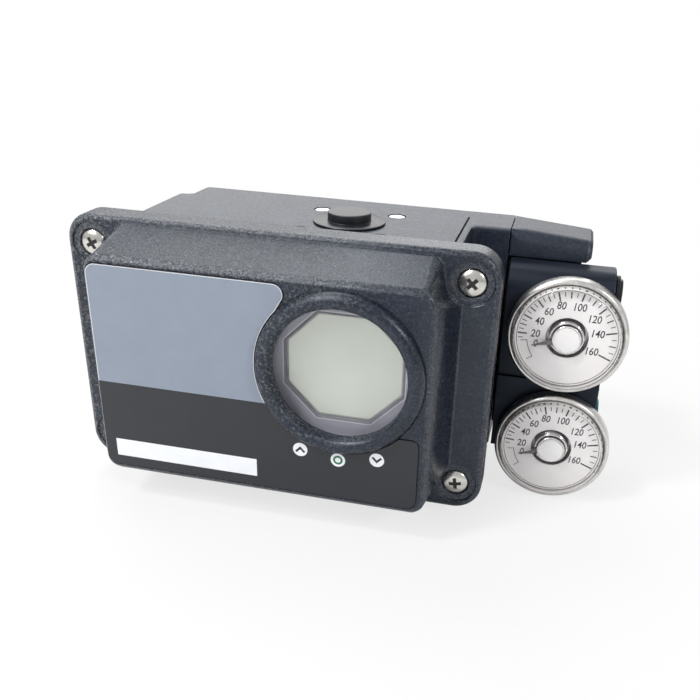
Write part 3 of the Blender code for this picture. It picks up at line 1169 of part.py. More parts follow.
def make_spool_valve():
    """The relay valve in the manifold: sleeve, spool, return spring and end plug."""
    spot = (RELAY_RIGHT, SPOOL_Y, SPOOL_Z)
    floor = GAP - SPOOL_BORE_LENGTH
    plug_end = -VALVE_PLUG_LENGTH
    sleeve_outer = SPOOL_BORE_RADIUS - GAP
    sleeve_inner = sleeve_outer - SLEEVE_WALL
    sleeve = tube(sleeve_inner, sleeve_outer, floor, plug_end - GAP, ROUND)
    smooth(place("valve_sleeve", sleeve, BRASS, spot, TO_RIGHT))
    spool_radius = sleeve_inner - RUNNING
    waist = spool_radius - SPOOL_GROOVE
    low = SPOOL_TRAVEL + GAP + floor
    land = SPOOL_LENGTH / 5
    profile = [(0.0, low)]
    for index in range(5):
        radius = spool_radius if index % 2 == 0 else waist
        profile += [(radius, low + index * land), (radius, low + (index + 1) * land)]
    profile.append((0.0, low + SPOOL_LENGTH))
    smooth(place("valve_spool", turned(profile, SMALL), BRIGHT_STEEL, spot, TO_RIGHT))
    spring_low = low + SPOOL_LENGTH + GAP + SPRING_WIRE
    spring_high = plug_end - GAP - SPRING_WIRE
    spring = helix(spool_radius - SPRING_WIRE, spring_low, spring_high, SPRING_TURNS, SPRING_WIRE, 5, 10, "spring")
    smooth(place("valve_spring", spring, BRIGHT_STEEL, spot, TO_RIGHT))
    top = GAP + VALVE_PLUG_HEAD
    plug = [(0.0, plug_end), (sleeve_outer, plug_end), (sleeve_outer, GAP), (VALVE_PLUG_HEAD_RADIUS, GAP),
            (VALVE_PLUG_HEAD_RADIUS, top - CAP_CHAMFER), (VALVE_PLUG_HEAD_RADIUS - CAP_CHAMFER, top), (0.0, top)]
    end = place("valve_end_plug", turned(plug, ROUND), BRIGHT_STEEL, spot, TO_RIGHT)
    socket = pin(sleeve_outer / 2, -VALVE_PLUG_LENGTH / 2, top + 1, 6)
    cut(end, tool(socket, spot, TO_RIGHT))
    smooth(end)


def make_hood():
    """The hood on the manifold: a hollow cover with a sloping top and large front edge, and its screw."""
    left = SIDE_BLOCK_RIGHT + GAP
    foot = MANIFOLD_TOP + GAP
    steps = (0, 30, 60, 90)

    def section(x, top, edge, base, front, rear):
        points = [(rear, base), (rear, top - HOUSING_EDGE), (rear - HOUSING_EDGE, top)]
        for angle in reversed(steps):
            turn = math.radians(angle)
            points.append((front + edge * (1 - math.cos(turn)), top - edge * (1 - math.sin(turn))))
        points.append((front, base))
        return along_x(points, x)

    end = HOOD_RIGHT - HOOD_FOOT_EDGE
    face = HOOD_RIGHT - HOOD_END_EDGE
    slope = (HOOD_RIGHT_TOP - HOOD_LEFT_TOP) / (HOOD_RIGHT - left)
    sections = [section(left, HOOD_LEFT_TOP, HOUSING_EDGE, foot, HOOD_FRONT, HOOD_REAR),
                section(left + HOOD_EDGE, HOOD_LEFT_TOP + slope * HOOD_EDGE, HOOD_EDGE, foot, HOOD_FRONT, HOOD_REAR),
                section(end, HOOD_RIGHT_TOP - slope * HOOD_FOOT_EDGE, HOOD_EDGE, foot, HOOD_FRONT, HOOD_REAR),
                section(face, HOOD_RIGHT_TOP - slope * HOOD_END_EDGE, HOOD_EDGE, foot + HOOD_FOOT_EDGE * 0.4,
                        HOOD_FRONT + HOOD_END_EDGE / 3, HOOD_REAR - HOOD_END_EDGE / 3),
                section(HOOD_RIGHT, HOOD_RIGHT_TOP - HOOD_END_EDGE, HOOD_EDGE - HOOD_END_EDGE / 2,
                        foot + HOOD_FOOT_EDGE, HOOD_FRONT + HOOD_END_EDGE, HOOD_REAR - HOOD_END_EDGE)]
    hood = place("relay_hood", loft(sections, "hood"), BLACK_COAT)
    wall = HOOD_WALL
    inside = [section(left + wall, HOOD_LEFT_TOP - wall, HOOD_EDGE, foot - 1, HOOD_FRONT + wall, HOOD_REAR - wall),
              section(HOOD_RIGHT - 2 * wall, HOOD_RIGHT_TOP - wall, HOOD_EDGE, foot - 1, HOOD_FRONT + wall,
                      HOOD_REAR - wall)]
    spot = (HOOD_SCREW_X, HOOD_REAR, HOOD_SCREW_Z)
    hole = pin(HOOD_SCREW_RADIUS / 2 + GAP, -wall - 1, 1.0, 12)
    cut(hood, tool(loft(inside)), tool(hole, spot, TO_BACK))
    smooth(hood)
    shank = HOOD_SCREW_RADIUS / 2
    profile = [(0.0, -HOOD_SCREW_LENGTH), (shank, -HOOD_SCREW_LENGTH), (shank, GAP), (HOOD_SCREW_RADIUS, GAP),
               (HOOD_SCREW_RADIUS, HOOD_SCREW_HEAD * 0.6), (HOOD_SCREW_RADIUS * 0.6, HOOD_SCREW_HEAD),
               (0.0, HOOD_SCREW_HEAD)]
    smooth(place("hood_screw", turned(profile, 16), BRIGHT_STEEL, spot, TO_BACK))


def make_gauge(name, z):
    """One gauge: case, clear lens, dial, coiled pressure element, pointer on its hub and stem."""
    spot = (GAUGE_X, 0.0, z)
    back = MANIFOLD_FRONT - GAP
    curve = CASE_BACK_RADIUS
    inner_back = back - CASE_WALL
    stem_hole = STEM_RADIUS + GAP
    outside = [(stem_hole, -back), (CASE_RADIUS - curve, -back)]
    outside += [(CASE_RADIUS - curve + x, curve - back + y) for x, y in arc((0, 0), curve, -60, 0, 2)]
    shoulder = -CASE_FRONT - CASE_SHOULDER_DEPTH
    for angle in (0, 30, 60, 90):
        turn = math.radians(angle)
        outside.append((CASE_RADIUS - CASE_SHOULDER_WIDTH * (1 - math.cos(turn)),
                        shoulder + CASE_SHOULDER_DEPTH * math.sin(turn)))
    outside.append((CASE_LIP_RADIUS, -CASE_FRONT))
    inside = [(CASE_LIP_RADIUS, -CASE_FRONT - CASE_WALL), (CASE_LIP_RADIUS + CASE_SEAT, -CASE_FRONT - CASE_WALL),
              (CASE_RADIUS - CASE_WALL, shoulder), (CASE_RADIUS - CASE_WALL, curve - back),
              (CASE_RADIUS - curve, -inner_back), (stem_hole, -inner_back)]
    case = turned(outside + inside, FINE, closed=True)
    smooth(place(f"{name}_gauge_case", case, BRIGHT_STEEL, spot, TO_FRONT))

    lens_inside = LENS_FRONT + LENS_THICKNESS
    dial_seat = DIAL_FRONT - GAP
    lens = [(0.0, -LENS_FRONT), (LENS_RADIUS - LENS_EDGE, -LENS_FRONT), (LENS_RADIUS - 0.4, -LENS_FRONT - 0.5),
            (LENS_RADIUS, -LENS_FRONT - LENS_EDGE), (LENS_RADIUS, -dial_seat),
            (LENS_RADIUS - LENS_THICKNESS, -dial_seat), (LENS_RADIUS - LENS_THICKNESS, -lens_inside - 0.8),
            (LENS_RADIUS - LENS_THICKNESS - 0.8, -lens_inside), (0.0, -lens_inside)]
    smooth(place(f"{name}_gauge_lens", turned(lens, FINE), CLEAR, spot, TO_FRONT))
    dial = tube(DIAL_HOLE_RADIUS, DIAL_RADIUS, -DIAL_FRONT - DIAL_THICKNESS, -DIAL_FRONT, FINE)
    smooth(place(f"{name}_gauge_dial", dial, DIAL_WHITE, spot, TO_FRONT))

    hub_front = lens_inside + GAP
    hub_back = hub_front + POINTER_THICKNESS
    stem_front = inner_back - 1.0
    element = helix(ELEMENT_RADIUS, -stem_front + GAP + ELEMENT_TUBE, -hub_back - GAP - ELEMENT_TUBE, ELEMENT_TURNS,
                    ELEMENT_TUBE, 6, 14, "element")
    smooth(place(f"{name}_gauge_element", element, BRONZE, spot, TO_FRONT))
    stem = [(0.0, -POCKET_FLOOR + GAP), (STEM_RADIUS, -POCKET_FLOOR + GAP), (STEM_RADIUS, -inner_back + GAP),
            (ELEMENT_RADIUS + ELEMENT_TUBE, -inner_back + GAP), (ELEMENT_RADIUS + ELEMENT_TUBE, -stem_front),
            (0.0, -stem_front)]
    smooth(place(f"{name}_gauge_stem", turned(stem, ROUND), BRASS, spot, TO_FRONT))

    pointer = place(f"{name}_gauge_pointer", pin(POINTER_HUB_RADIUS, -hub_back, -hub_front, ROUND), POINTER_GREY,
                    spot, TO_FRONT)
    angle = math.radians(POINTER_ZERO_ANGLE)
    along = Vector((math.cos(angle), math.sin(angle)))
    across = Vector((-along.y, along.x))
    inner = POINTER_HUB_RADIUS - 1
    blade = [along * inner + across * POINTER_ROOT_WIDTH / 2, along * inner - across * POINTER_ROOT_WIDTH / 2,
             along * POINTER_TIP_RADIUS - across * POINTER_TIP_WIDTH / 2,
             along * POINTER_TIP_RADIUS + across * POINTER_TIP_WIDTH / 2]
    thin = POINTER_THICKNESS / 5
    join(pointer, tool(prism([tuple(point) for point in blade], along_y, hub_front + thin, hub_back - thin), spot))
    smooth(pointer)


make_lid()
make_lid_screws()
make_window()
make_label()
make_housing()
make_lid_gasket()
make_top_fittings()
make_shaft()
make_electronics()
make_conduit_and_earth()
make_manifold()
make_port_plugs()
make_spool_valve()
make_hood()
for gauge_name, gauge_z in zip(GAUGE_NAMES, GAUGE_Z):
    make_gauge(gauge_name, gauge_z)
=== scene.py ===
"""A valve positioner with two pressure gauges, finished piece by piece."""

import math

import bmesh
import bpy
from mathutils import Matrix, Vector


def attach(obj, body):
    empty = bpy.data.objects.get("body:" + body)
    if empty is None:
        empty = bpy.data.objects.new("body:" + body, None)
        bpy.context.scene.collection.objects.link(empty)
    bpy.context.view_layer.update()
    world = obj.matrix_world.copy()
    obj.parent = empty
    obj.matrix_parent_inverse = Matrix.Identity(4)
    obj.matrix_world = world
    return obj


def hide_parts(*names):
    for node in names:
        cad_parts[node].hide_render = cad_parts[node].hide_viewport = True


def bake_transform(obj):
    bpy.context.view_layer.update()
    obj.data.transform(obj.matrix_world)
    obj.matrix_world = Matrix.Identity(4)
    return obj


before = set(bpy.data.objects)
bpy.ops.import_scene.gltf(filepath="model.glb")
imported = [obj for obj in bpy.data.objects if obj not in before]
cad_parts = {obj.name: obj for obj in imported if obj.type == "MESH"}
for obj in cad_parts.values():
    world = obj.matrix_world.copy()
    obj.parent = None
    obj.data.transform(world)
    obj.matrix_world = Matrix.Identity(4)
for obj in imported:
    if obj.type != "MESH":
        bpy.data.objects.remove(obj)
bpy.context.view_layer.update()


# Viewpoint
# The camera stands in front of the lid, a little to its right and well above it. Lens, roll and
# shift follow from where the corners and gauges lie in the picture.
PICTURE_PIXELS = 700
SENSOR = 36.0
FOCAL_PIXELS = 812.99
CENTRE_PIXELS = (394.78, 393.36)
CAMERA_SPOT = (0.0671, -0.261665, 0.16567)
turn = math.radians(11.13)
lift = math.radians(26.09)
roll = math.radians(2.69)


def put(name, data):
    """A new object in the scene."""
    made = bpy.data.objects.new(name, data)
    bpy.context.collection.objects.link(made)
    return made


backward = Vector((math.sin(turn) * math.cos(lift), -math.cos(turn) * math.cos(lift), math.sin(lift)))
sideways = (-backward).cross(Vector((0, 0, 1))).normalized()
upward = sideways.cross(-backward)
rolled_side = math.cos(roll) * sideways + math.sin(roll) * upward
rolled_up = math.cos(roll) * upward - math.sin(roll) * sideways
camera = put("camera", bpy.data.cameras.new("camera"))
axes = Matrix((rolled_side, rolled_up, backward)).transposed().to_4x4()
camera.matrix_world = Matrix.Translation(CAMERA_SPOT) @ axes
camera.data.sensor_width = SENSOR
camera.data.lens = FOCAL_PIXELS / PICTURE_PIXELS * SENSOR
camera.data.shift_x = 0.5 - CENTRE_PIXELS[0] / PICTURE_PIXELS
camera.data.shift_y = CENTRE_PIXELS[1] / PICTURE_PIXELS - 0.5
camera.data.clip_start = 0.01
bpy.context.scene.camera = camera
bpy.context.scene.view_settings.view_transform = "Standard"


# Floor and light
# A pale sweep of paper under large softboxes above, behind and at the left, and two small ones that
# draw the edges. The camera sees white paper with part of the object's shadow.
class Mix:
    """A socket in a material's nodes. Sums on it add Math nodes, and node() adds any other kind."""

    def __init__(self, tree, socket=None):
        self.tree = tree
        self.socket = socket

    def node(self, kind, settings=None, sockets=None, out=0):
        made = self.tree.nodes.new(kind)
        for name, value in (settings or {}).items():
            setattr(made, name, value)
        for name, value in (sockets or {}).items():
            if isinstance(value, Mix):
                self.tree.links.new(value.socket, made.inputs[name])
            else:
                made.inputs[name].default_value = value
        return Mix(self.tree, made.outputs[out])

    def math(self, operation, first, second):
        return self.node("ShaderNodeMath", {"operation": operation}, {0: first, 1: second})

    def __add__(self, other):
        return self.math("ADD", self, other)

    def __mul__(self, other):
        return self.math("MULTIPLY", self, other)

    def __sub__(self, other):
        return self.math("SUBTRACT", self, other)

    __radd__ = __add__

    def between(self, low, high, start=0.0, end=1.0):
        """Rises from start to end as the value goes from low to high, and stays there."""
        sockets = {"Value": self, "From Min": low, "From Max": high, "To Min": start, "To Max": end}
        return self.node("ShaderNodeMapRange", {}, sockets)

    def blend(self, first, second):
        """A colour between two others, by this value."""
        first = first if isinstance(first, Mix) else (*first, 1.0)
        second = second if isinstance(second, Mix) else (*second, 1.0)
        return self.node("ShaderNodeMix", {"data_type": "RGBA"}, {0: self, 6: first, 7: second}, 2)

    def noise(self, size, detail=3.0, rough=0.55, stretch=(1.0, 1.0, 1.0)):
        """Cloudy noise whose patches are about size millimetres across."""
        where = self.node("ShaderNodeMapping", {}, {"Vector": self, "Scale": stretch})
        sockets = {"Vector": where, "Scale": 1000.0 / size, "Detail": detail, "Roughness": rough}
        return self.node("ShaderNodeTexNoise", {}, sockets)

    def cells(self, size):
        """Distance to the nearest of points that lie about size millimetres apart."""
        return self.node("ShaderNodeTexVoronoi", {}, {"Vector": self, "Scale": 1000.0 / size})

    def bump(self, height, depth):
        """A normal that follows a height map, whose full height is depth millimetres."""
        sockets = {"Height": height, "Distance": depth * 0.001, "Strength": 1.0}
        return self.node("ShaderNodeBump", {}, sockets)


def finish(name, colour, roughness, metallic=0.0, **fixed):
    """A material with its fixed values set; returns it, its shader and its object-space position."""
    material = bpy.data.materials.new(name)
    material.use_nodes = True
    shader = material.node_tree.nodes["Principled BSDF"]
    shader.inputs["Base Color"].default_value = (*colour, 1.0)
    shader.inputs["Roughness"].default_value = roughness
    shader.inputs["Metallic"].default_value = metallic
    for key, value in fixed.items():
        shader.inputs[key.replace("_", " ").title().replace("Ior", "IOR")].default_value = value
    where = Mix(material.node_tree).node("ShaderNodeTexCoord", {}, {}, 3)
    return material, shader, where


def wire(shader, **sources):
    """Links mixes to the shader's sockets, named with underscores."""
    for key, mix in sources.items():
        mix.tree.links.new(mix.socket, shader.inputs[key.replace("_", " ").title()])


def made_mesh(bm, name):
    """A bmesh as a mesh."""
    mesh = bpy.data.meshes.new(name)
    bm.to_mesh(mesh)
    bm.free()
    return mesh


SHADOW_SHARE = 0.26
SHADOW_NEAR = 0.14
SHADOW_FAR = 0.24
FLOOR_REACH = 4.0
paper, paper_shader, where = finish("paper", (0.88, 0.88, 0.88), 0.9)
wire(paper_shader, normal=where.bump(where.noise(0.6), 0.01))
seen = where.node("ShaderNodeLightPath", {}, {}, 0)
away = where.node("ShaderNodeVectorMath", {"operation": "LENGTH"}, {0: where}, 1)
fade = away.between(SHADOW_NEAR, SHADOW_FAR, 1 - SHADOW_SHARE, 1.0)
white = where.node("ShaderNodeEmission", {}, {"Color": (1.0, 1.0, 1.0, 1.0), "Strength": 1.0})
lit = Mix(paper.node_tree, paper_shader.outputs[0])
blank = where.node("ShaderNodeMixShader", {}, {0: seen * fade, 1: lit, 2: white})
paper.node_tree.links.new(blank.socket, paper.node_tree.nodes["Material Output"].inputs["Surface"])
sweep = bmesh.new()
bmesh.ops.create_grid(sweep, x_segments=2, y_segments=2, size=FLOOR_REACH)
floor = put("floor", made_mesh(sweep, "floor"))
floor.data.materials.append(paper)

ROOM_STRENGTH = 0.22
MIRRORED_STRENGTH = 0.42
world = bpy.data.worlds.new("studio")
world.use_nodes = True
bpy.context.scene.world = world
sky = Mix(world.node_tree)
path = sky.node("ShaderNodeLightPath")
rays = {kind: Mix(world.node_tree, path.socket.node.outputs[f"Is {kind} Ray"])
        for kind in ("Camera", "Glossy", "Transmission")}
open_ray = sky.math("MAXIMUM", rays["Camera"], rays["Transmission"])
strength = sky.math("MAXIMUM", open_ray, rays["Glossy"] * MIRRORED_STRENGTH + ROOM_STRENGTH)
background = world.node_tree.nodes["Background"]
background.inputs["Color"].default_value = (1.0, 1.0, 1.0, 1.0)
world.node_tree.links.new(strength.socket, background.inputs["Strength"])


MIDDLE = Vector((0.0, 0.0, 0.05))
LAMPS = {
    "overhead": ((-0.34, 0.38, 0.8), 0.6, 0.5, 3.6),
    "rear": ((-0.2, 0.92, 0.5), 1.0, 0.4, 2.8),
    "key": ((-0.55, -0.75, 0.75), 0.5, 0.5, 4.8),
    "left_spot": ((-0.41, -0.4, 0.84), 0.14, 0.14, 4.0),
    "right_spot": ((0.66, -0.42, 0.56), 0.14, 0.14, 1.9),
}
for name, (place, width, height, watts) in LAMPS.items():
    lamp = bpy.data.lights.new(name, "AREA")
    lamp.shape = "RECTANGLE"
    lamp.size = width
    lamp.size_y = height
    lamp.energy = watts
    holder = put(name, lamp)
    holder.location = place
    holder.rotation_euler = (MIDDLE - Vector(place)).to_track_quat("-Z", "Y").to_euler()
    holder.visible_camera = False


# Housing
# A pressure die casting in aluminium, powder coated black. Its stepped box carries a raised pad on
# top, a side block for the manifold, conduit bosses at the left and the mounting plinth below.
MM = 0.001
ZERO = Vector((-21.3, -22.725, 51.0))
HOUSING_HALF_HEIGHT = 43.0
RIM_WIDTH = 0.9
RIM_BENDS = (7.0, 50.0)
CRISP_SHARE = 0.22


def at(x, y, z):
    """A place in metres, from millimetres right of, behind and above the lid flange's middle."""
    return (Vector((x, y, z)) + ZERO) * MM


def coated(mesh, material):
    """A mesh with one material on all of it."""
    mesh.materials.clear()
    mesh.materials.append(material)
    return mesh


def piece(name, mesh, material, slot, *nodes, body="case"):
    """Puts a finished mesh in the scene on its body, with the nodes that it stands for."""
    made = put(name, coated(mesh, material))
    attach(made, body)
    if nodes:
        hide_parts(*nodes)
    return made


def shaded(mesh, angle=32.0):
    """Smooth shading that keeps the edges sharper than an angle."""
    mesh.shade_smooth()
    mesh.set_sharp_from_angle(angle=math.radians(angle))
    return mesh


def evaluated(helper):
    """The mesh that an object comes to. The object goes."""
    bpy.context.view_layer.update()
    result = bpy.data.meshes.new_from_object(helper.evaluated_get(bpy.context.evaluated_depsgraph_get()))
    bpy.data.objects.remove(helper)
    return result


def with_modifier(mesh, kind, **settings):
    """A mesh after one modifier, applied."""
    helper = put("helper", mesh)
    step = helper.modifiers.new("step", kind)
    for key, value in settings.items():
        setattr(step, key, value)
    return evaluated(helper)


def mark_rims(mesh, spared=lambda spot: False):
    """Marks the narrow faces along rounded edges, where a coat wears first and edges catch the light, as
    the face layer rim; the coats paint these faces lighter, as edge wear and painted highlight at once.
    A face whose middle the test spared names isn't marked."""
    bm = bmesh.new()
    bm.from_mesh(mesh)
    values = []
    for face in bm.faces:
        bends = [math.degrees(edge.calc_face_angle_signed(0.0)) for edge in face.edges]
        narrow = face.calc_area() / max(edge.calc_length() for edge in face.edges) < RIM_WIDTH * MM
        bent = RIM_BENDS[0] < max(bends) < RIM_BENDS[1]
        values.append(1.0 if narrow and bent and not spared(face.calc_center_median()) else 0.0)
    bm.free()
    layer = mesh.attributes.new("rim", "FLOAT", "FACE")
    layer.data.foreach_set("value", values)
    return mesh


def worked(node, width, angle=30.0, crisp=None):
    """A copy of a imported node's mesh with its sharp edges rounded, as casting or tumbling leaves them.
    Edges that lie wholly above the height crisp are rounded only a little."""
    bm = bmesh.new()
    bm.from_mesh(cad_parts[node].data)
    bmesh.ops.remove_doubles(bm, verts=bm.verts, dist=2e-6)
    bmesh.ops.dissolve_limit(bm, angle_limit=math.radians(1.0), verts=bm.verts, edges=bm.edges)
    weight = bm.edges.layers.float.new("bevel_weight_edge")
    for edge in bm.edges:
        if len(edge.link_faces) == 2 and edge.calc_face_angle(0.0) > math.radians(angle):
            high = crisp is not None and min(vert.co.z for vert in edge.verts) > crisp
            edge[weight] = CRISP_SHARE if high else 1.0
    smooth = with_modifier(made_mesh(bm, node), "BEVEL", width=width * MM, segments=3, limit_method="WEIGHT",
                           use_clamp_overlap=True, miter_outer="MITER_ARC", harden_normals=True)
    return mark_rims(with_modifier(shaded(smooth, 40.0), "WEIGHTED_NORMAL", keep_sharp=True))


def worked_piece(name, node, width, material, slot, **settings):
    """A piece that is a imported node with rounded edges."""
    piece(name, worked(node, width, **settings), material, slot, node)


def powder_coat(name, sparkle, depth, gloss=0.4):
    """Black powder coat: orange-peel texture, coarser and with more pale flecks painted in as glints at
    the left, and polished rims painted lighter as edge wear and painted highlight.
    """
    material, shader, where = finish(name, (0.01, 0.015, 0.03), gloss, specular_ior_level=0.5,
                                     specular_tint=(0.87, 0.94, 1.0, 1.0))
    place = where.node("ShaderNodeSeparateXYZ", {}, {0: where})
    patches = where.noise(14.0, 2.0)
    coarse = (place + patches * 0.02).between(-0.01, 0.03, 1.0, 0.25)
    peel = where.noise(1.2, 4.0, 0.75)
    grit = where.noise(0.6, 2.0, 0.6)
    # Pale flecks in the base colour are painted glints, strongest where the coat is coarse.
    glint_flecks = where.noise(1.0, 3.0, 0.8).between(0.5, 0.64)
    rim = where.node("ShaderNodeAttribute", {"attribute_name": "rim"}, {}, 2)
    # Rims are painted lighter: partly edge wear, partly a painted highlight along the edges.
    rim_wear_and_glint = rim * grit.between(0.42, 0.64)
    dusty = patches.between(0.35, 0.72).blend((0.006, 0.01, 0.021), (0.013, 0.019, 0.034))
    glint_speckled = (glint_flecks * coarse * sparkle).blend(dusty, (0.42, 0.42, 0.43))
    worn_and_glinting = (rim_wear_and_glint * (0.08 + coarse * 0.3)).blend(glint_speckled, (0.4, 0.405, 0.42))
    height = (peel * 0.7 + grit * 0.3 + glint_flecks * 0.3) * coarse + peel * 0.05
    roughness = peel.between(0.3, 0.7, gloss - 0.06, gloss + 0.06) - rim_wear_and_glint * 0.08
    wire(shader, base_color=worn_and_glinting, roughness=roughness, normal=where.bump(height, depth))
    return material


housing_coat = powder_coat("housing_coat", 0.2, 0.06)
pad_step = at(0.0, 0.0, HOUSING_HALF_HEIGHT - 0.2).z
worked_piece("housing_casting", "housing", 0.42, housing_coat, "case_coat", crisp=pad_step)


# Lid
# The lid is a casting too: a flat flange with rounded edges and skirt, a raised panel with drafted
# walls scooped out round the four screws, a rolled ring round the window and a pocket for the label.
LID_HALF_WIDTH = 73.0
LID_HALF_HEIGHT = 46.0
LID_CORNER = 9.5
LID_EDGE = 1.8
LID_FACE = 4.0
SKIRT_END = 10.0
SKIRT_WALL = 2.7
SKIRT_BREAK = 0.4
PANEL_FRONT = -19.35
PANEL_EDGE = 1.9
PANEL_HALF_WIDTH = 56.4
PANEL_HALF_HEIGHT = 38.2
PANEL_CORNER = 4.6
ROOT_HALF_WIDTH = 61.2
ROOT_HALF_HEIGHT = 43.9
ROOT_TOP_HALF_WIDTH = 54.7
ROOT_CORNER = 3.6
ROOT_FLARE = 0.9
SCREW_X = 64.0
SCREW_Z = 36.0
SCOOP_RADIUS = 8.3
WINDOW_X = 27.4
WINDOW_Z = 8.6
WINDOW_SPOT = (WINDOW_X, 0.0, WINDOW_Z)
RING_RADIUS = 27.3
RING_CREST_RADIUS = 24.3
RING_CREST = 3.2
RING_LIP = 1.3
WINDOW_RADIUS = 21.9
GLASS_RADIUS = 24.2
GLASS_SEAT = -18.0
GLASS_FRONT = -16.8
GLASS_BACK = -13.8
PANEL_INSIDE = -16.55
LABEL_BACK = -19.15
LABEL_FRONT = -19.65
LABEL_CORNERS = (-55.3, -36.0, 53.7, 36.0)
LABEL_FOOT_Z = -10.7
LABEL_SHOULDER_X = 9.7
LABEL_SHOULDER_DROP = 8.5
LABEL_RADIUS = 3.4
LABEL_SMALL_RADIUS = 2.6


def arc(centre, radius, start, end, steps):
    """Points on an arc, with both ends, at angles in degrees."""
    points = []
    for step in range(steps + 1):
        angle = math.radians(start + (end - start) * step / steps)
        points.append((centre[0] + radius * math.cos(angle), centre[1] + radius * math.sin(angle)))
    return points


def rounded(low_a, high_a, low_b, high_b, radius, steps=8):
    """A rectangle with round corners."""
    points = []
    corners = ((high_a - radius, high_b - radius), (low_a + radius, high_b - radius),
               (low_a + radius, low_b + radius), (high_a - radius, low_b + radius))
    for quarter, corner in enumerate(corners):
        points += arc(corner, radius, quarter * 90, quarter * 90 + 90, steps)
    return points


def close(bm, name):
    """Turns a closed bmesh into a mesh with its faces outwards."""
    bmesh.ops.recalc_face_normals(bm, faces=bm.faces)
    return made_mesh(bm, name)


def loft(sections, hollow=False):
    """A solid skinned over sections of (x, y, z) points in millimetres, with flat ends, or a frame
    whose last section meets the first."""
    bm = bmesh.new()
    rings = [[bm.verts.new(at(*point)) for point in section] for section in sections]
    for near, far in zip(rings, rings[1:] + rings[:1] if hollow else rings[1:]):
        for index in range(len(near)):
            after = (index + 1) % len(near)
            bm.faces.new((near[index], near[after], far[after], far[index]))
    if not hollow:
        bm.faces.new(rings[0])
        bm.faces.new(rings[-1])
    return close(bm, "loft")


def facing(outline, y):
    """An (x, z) outline as a section at y."""
    return [(x, y, z) for x, z in outline]


def slab(outline, front, back):
    """An (x, z) outline pulled straight from front to back."""
    return loft([facing(outline, front), facing(outline, back)])


AXES = {
    "front": ((1, 0, 0), (0, 0, 1), (0, -1, 0)),
    "right": ((0, 1, 0), (0, 0, 1), (1, 0, 0)),
    "top": ((1, 0, 0), (0, 1, 0), (0, 0, 1)),
}


def turned(profile, spot, segments=96, closed=False, towards="front"):
    """A profile of (radius, height) points spun about an axis through a spot, in millimetres."""
    across, around, along = (Vector(axis) for axis in AXES[towards])
    bm = bmesh.new()
    start = [at(*(Vector(spot) + across * radius + along * height)) for radius, height in profile]
    verts = [bm.verts.new(point) for point in start]
    edges = [bm.edges.new(pair) for pair in zip(verts, verts[1:])]
    if closed:
        edges.append(bm.edges.new((verts[-1], verts[0])))
    bmesh.ops.spin(bm, geom=verts + edges, axis=along, cent=at(*spot), angle=math.tau, steps=segments)
    bmesh.ops.remove_doubles(bm, verts=bm.verts, dist=2e-7)
    bmesh.ops.dissolve_degenerate(bm, edges=bm.edges, dist=1e-8)
    return close(bm, "turned")


def bar(radius, low, high, spot, segments):
    """A plain round bar that faces the front."""
    return turned([(0.0, low), (radius, low), (radius, high), (0.0, high)], spot, segments)


def hoop(inner, outer, low, high, spot, segments):
    """A ring of oblong section that faces the front."""
    return turned([(inner, low), (outer, low), (outer, high), (inner, high)], spot, segments, True)


def merged(*meshes):
    """Several meshes as one."""
    bm = bmesh.new()
    for mesh in meshes:
        bm.from_mesh(mesh)
    return made_mesh(bm, "merged")


def carved(mesh, other, operation="DIFFERENCE"):
    """A mesh after a boolean step with another."""
    tool = put("tool", other)
    result = with_modifier(mesh, "BOOLEAN", operation=operation, solver="EXACT", object=tool)
    bpy.data.objects.remove(tool)
    bm = bmesh.new()
    bm.from_mesh(result)
    bmesh.ops.remove_doubles(bm, verts=bm.verts, dist=2e-6)
    bmesh.ops.dissolve_degenerate(bm, edges=bm.edges, dist=2e-6)
    bm.to_mesh(result)
    bm.free()
    return result


def panel_section(share, inset):
    """The raised panel's outline: share 0 is its scooped root on the flange, 1 is its front."""
    radius = SCOOP_RADIUS + inset
    side = ROOT_HALF_WIDTH - inset
    first = -math.degrees(math.acos(min(1.0, (side - SCREW_X) / radius)))
    root = arc((SCREW_X, SCREW_Z), radius, first, -180, 18)
    inner = (PANEL_HALF_WIDTH - PANEL_CORNER, PANEL_HALF_HEIGHT - PANEL_CORNER)
    top = ROOT_HALF_HEIGHT - inset
    shoulder = ROOT_TOP_HALF_WIDTH - inset
    root += arc((shoulder - ROOT_CORNER, top - ROOT_CORNER), ROOT_CORNER, 0, 90, 6)
    front = arc(inner, PANEL_CORNER - max(inset, 0.0), 0, 90, len(root) - 1)
    corner = [(near[0] * (1 - share) + far[0] * share, near[1] * (1 - share) + far[1] * share)
              for near, far in zip(root, front)]
    left = [(-x, z) for x, z in reversed(corner)]
    return corner + left + [(-x, -z) for x, z in corner] + [(x, -z) for x, z in reversed(corner)]


def ring_profile():
    """The window ring's section: foot flared into the panel, round shoulder, crest and inner lip."""
    points = [(WINDOW_RADIUS - 1, -2.0), (RING_RADIUS + 0.25, -2.0), (RING_RADIUS + 0.25, -0.02),
              (RING_RADIUS, 0.12)]
    outer = RING_RADIUS - RING_CREST_RADIUS
    inner = RING_CREST_RADIUS - WINDOW_RADIUS
    drop = RING_CREST - RING_LIP
    points += [(RING_CREST_RADIUS + outer * u, RING_CREST * v) for u, v in arc((0, 0), 1, 8, 88, 10)]
    points += [(RING_CREST_RADIUS - inner * v, RING_LIP + drop * u) for u, v in arc((0, 0), 1, 8, 72, 8)]
    return points + [(WINDOW_RADIUS + 0.15, RING_LIP + 0.15), (WINDOW_RADIUS - 1, RING_LIP)]


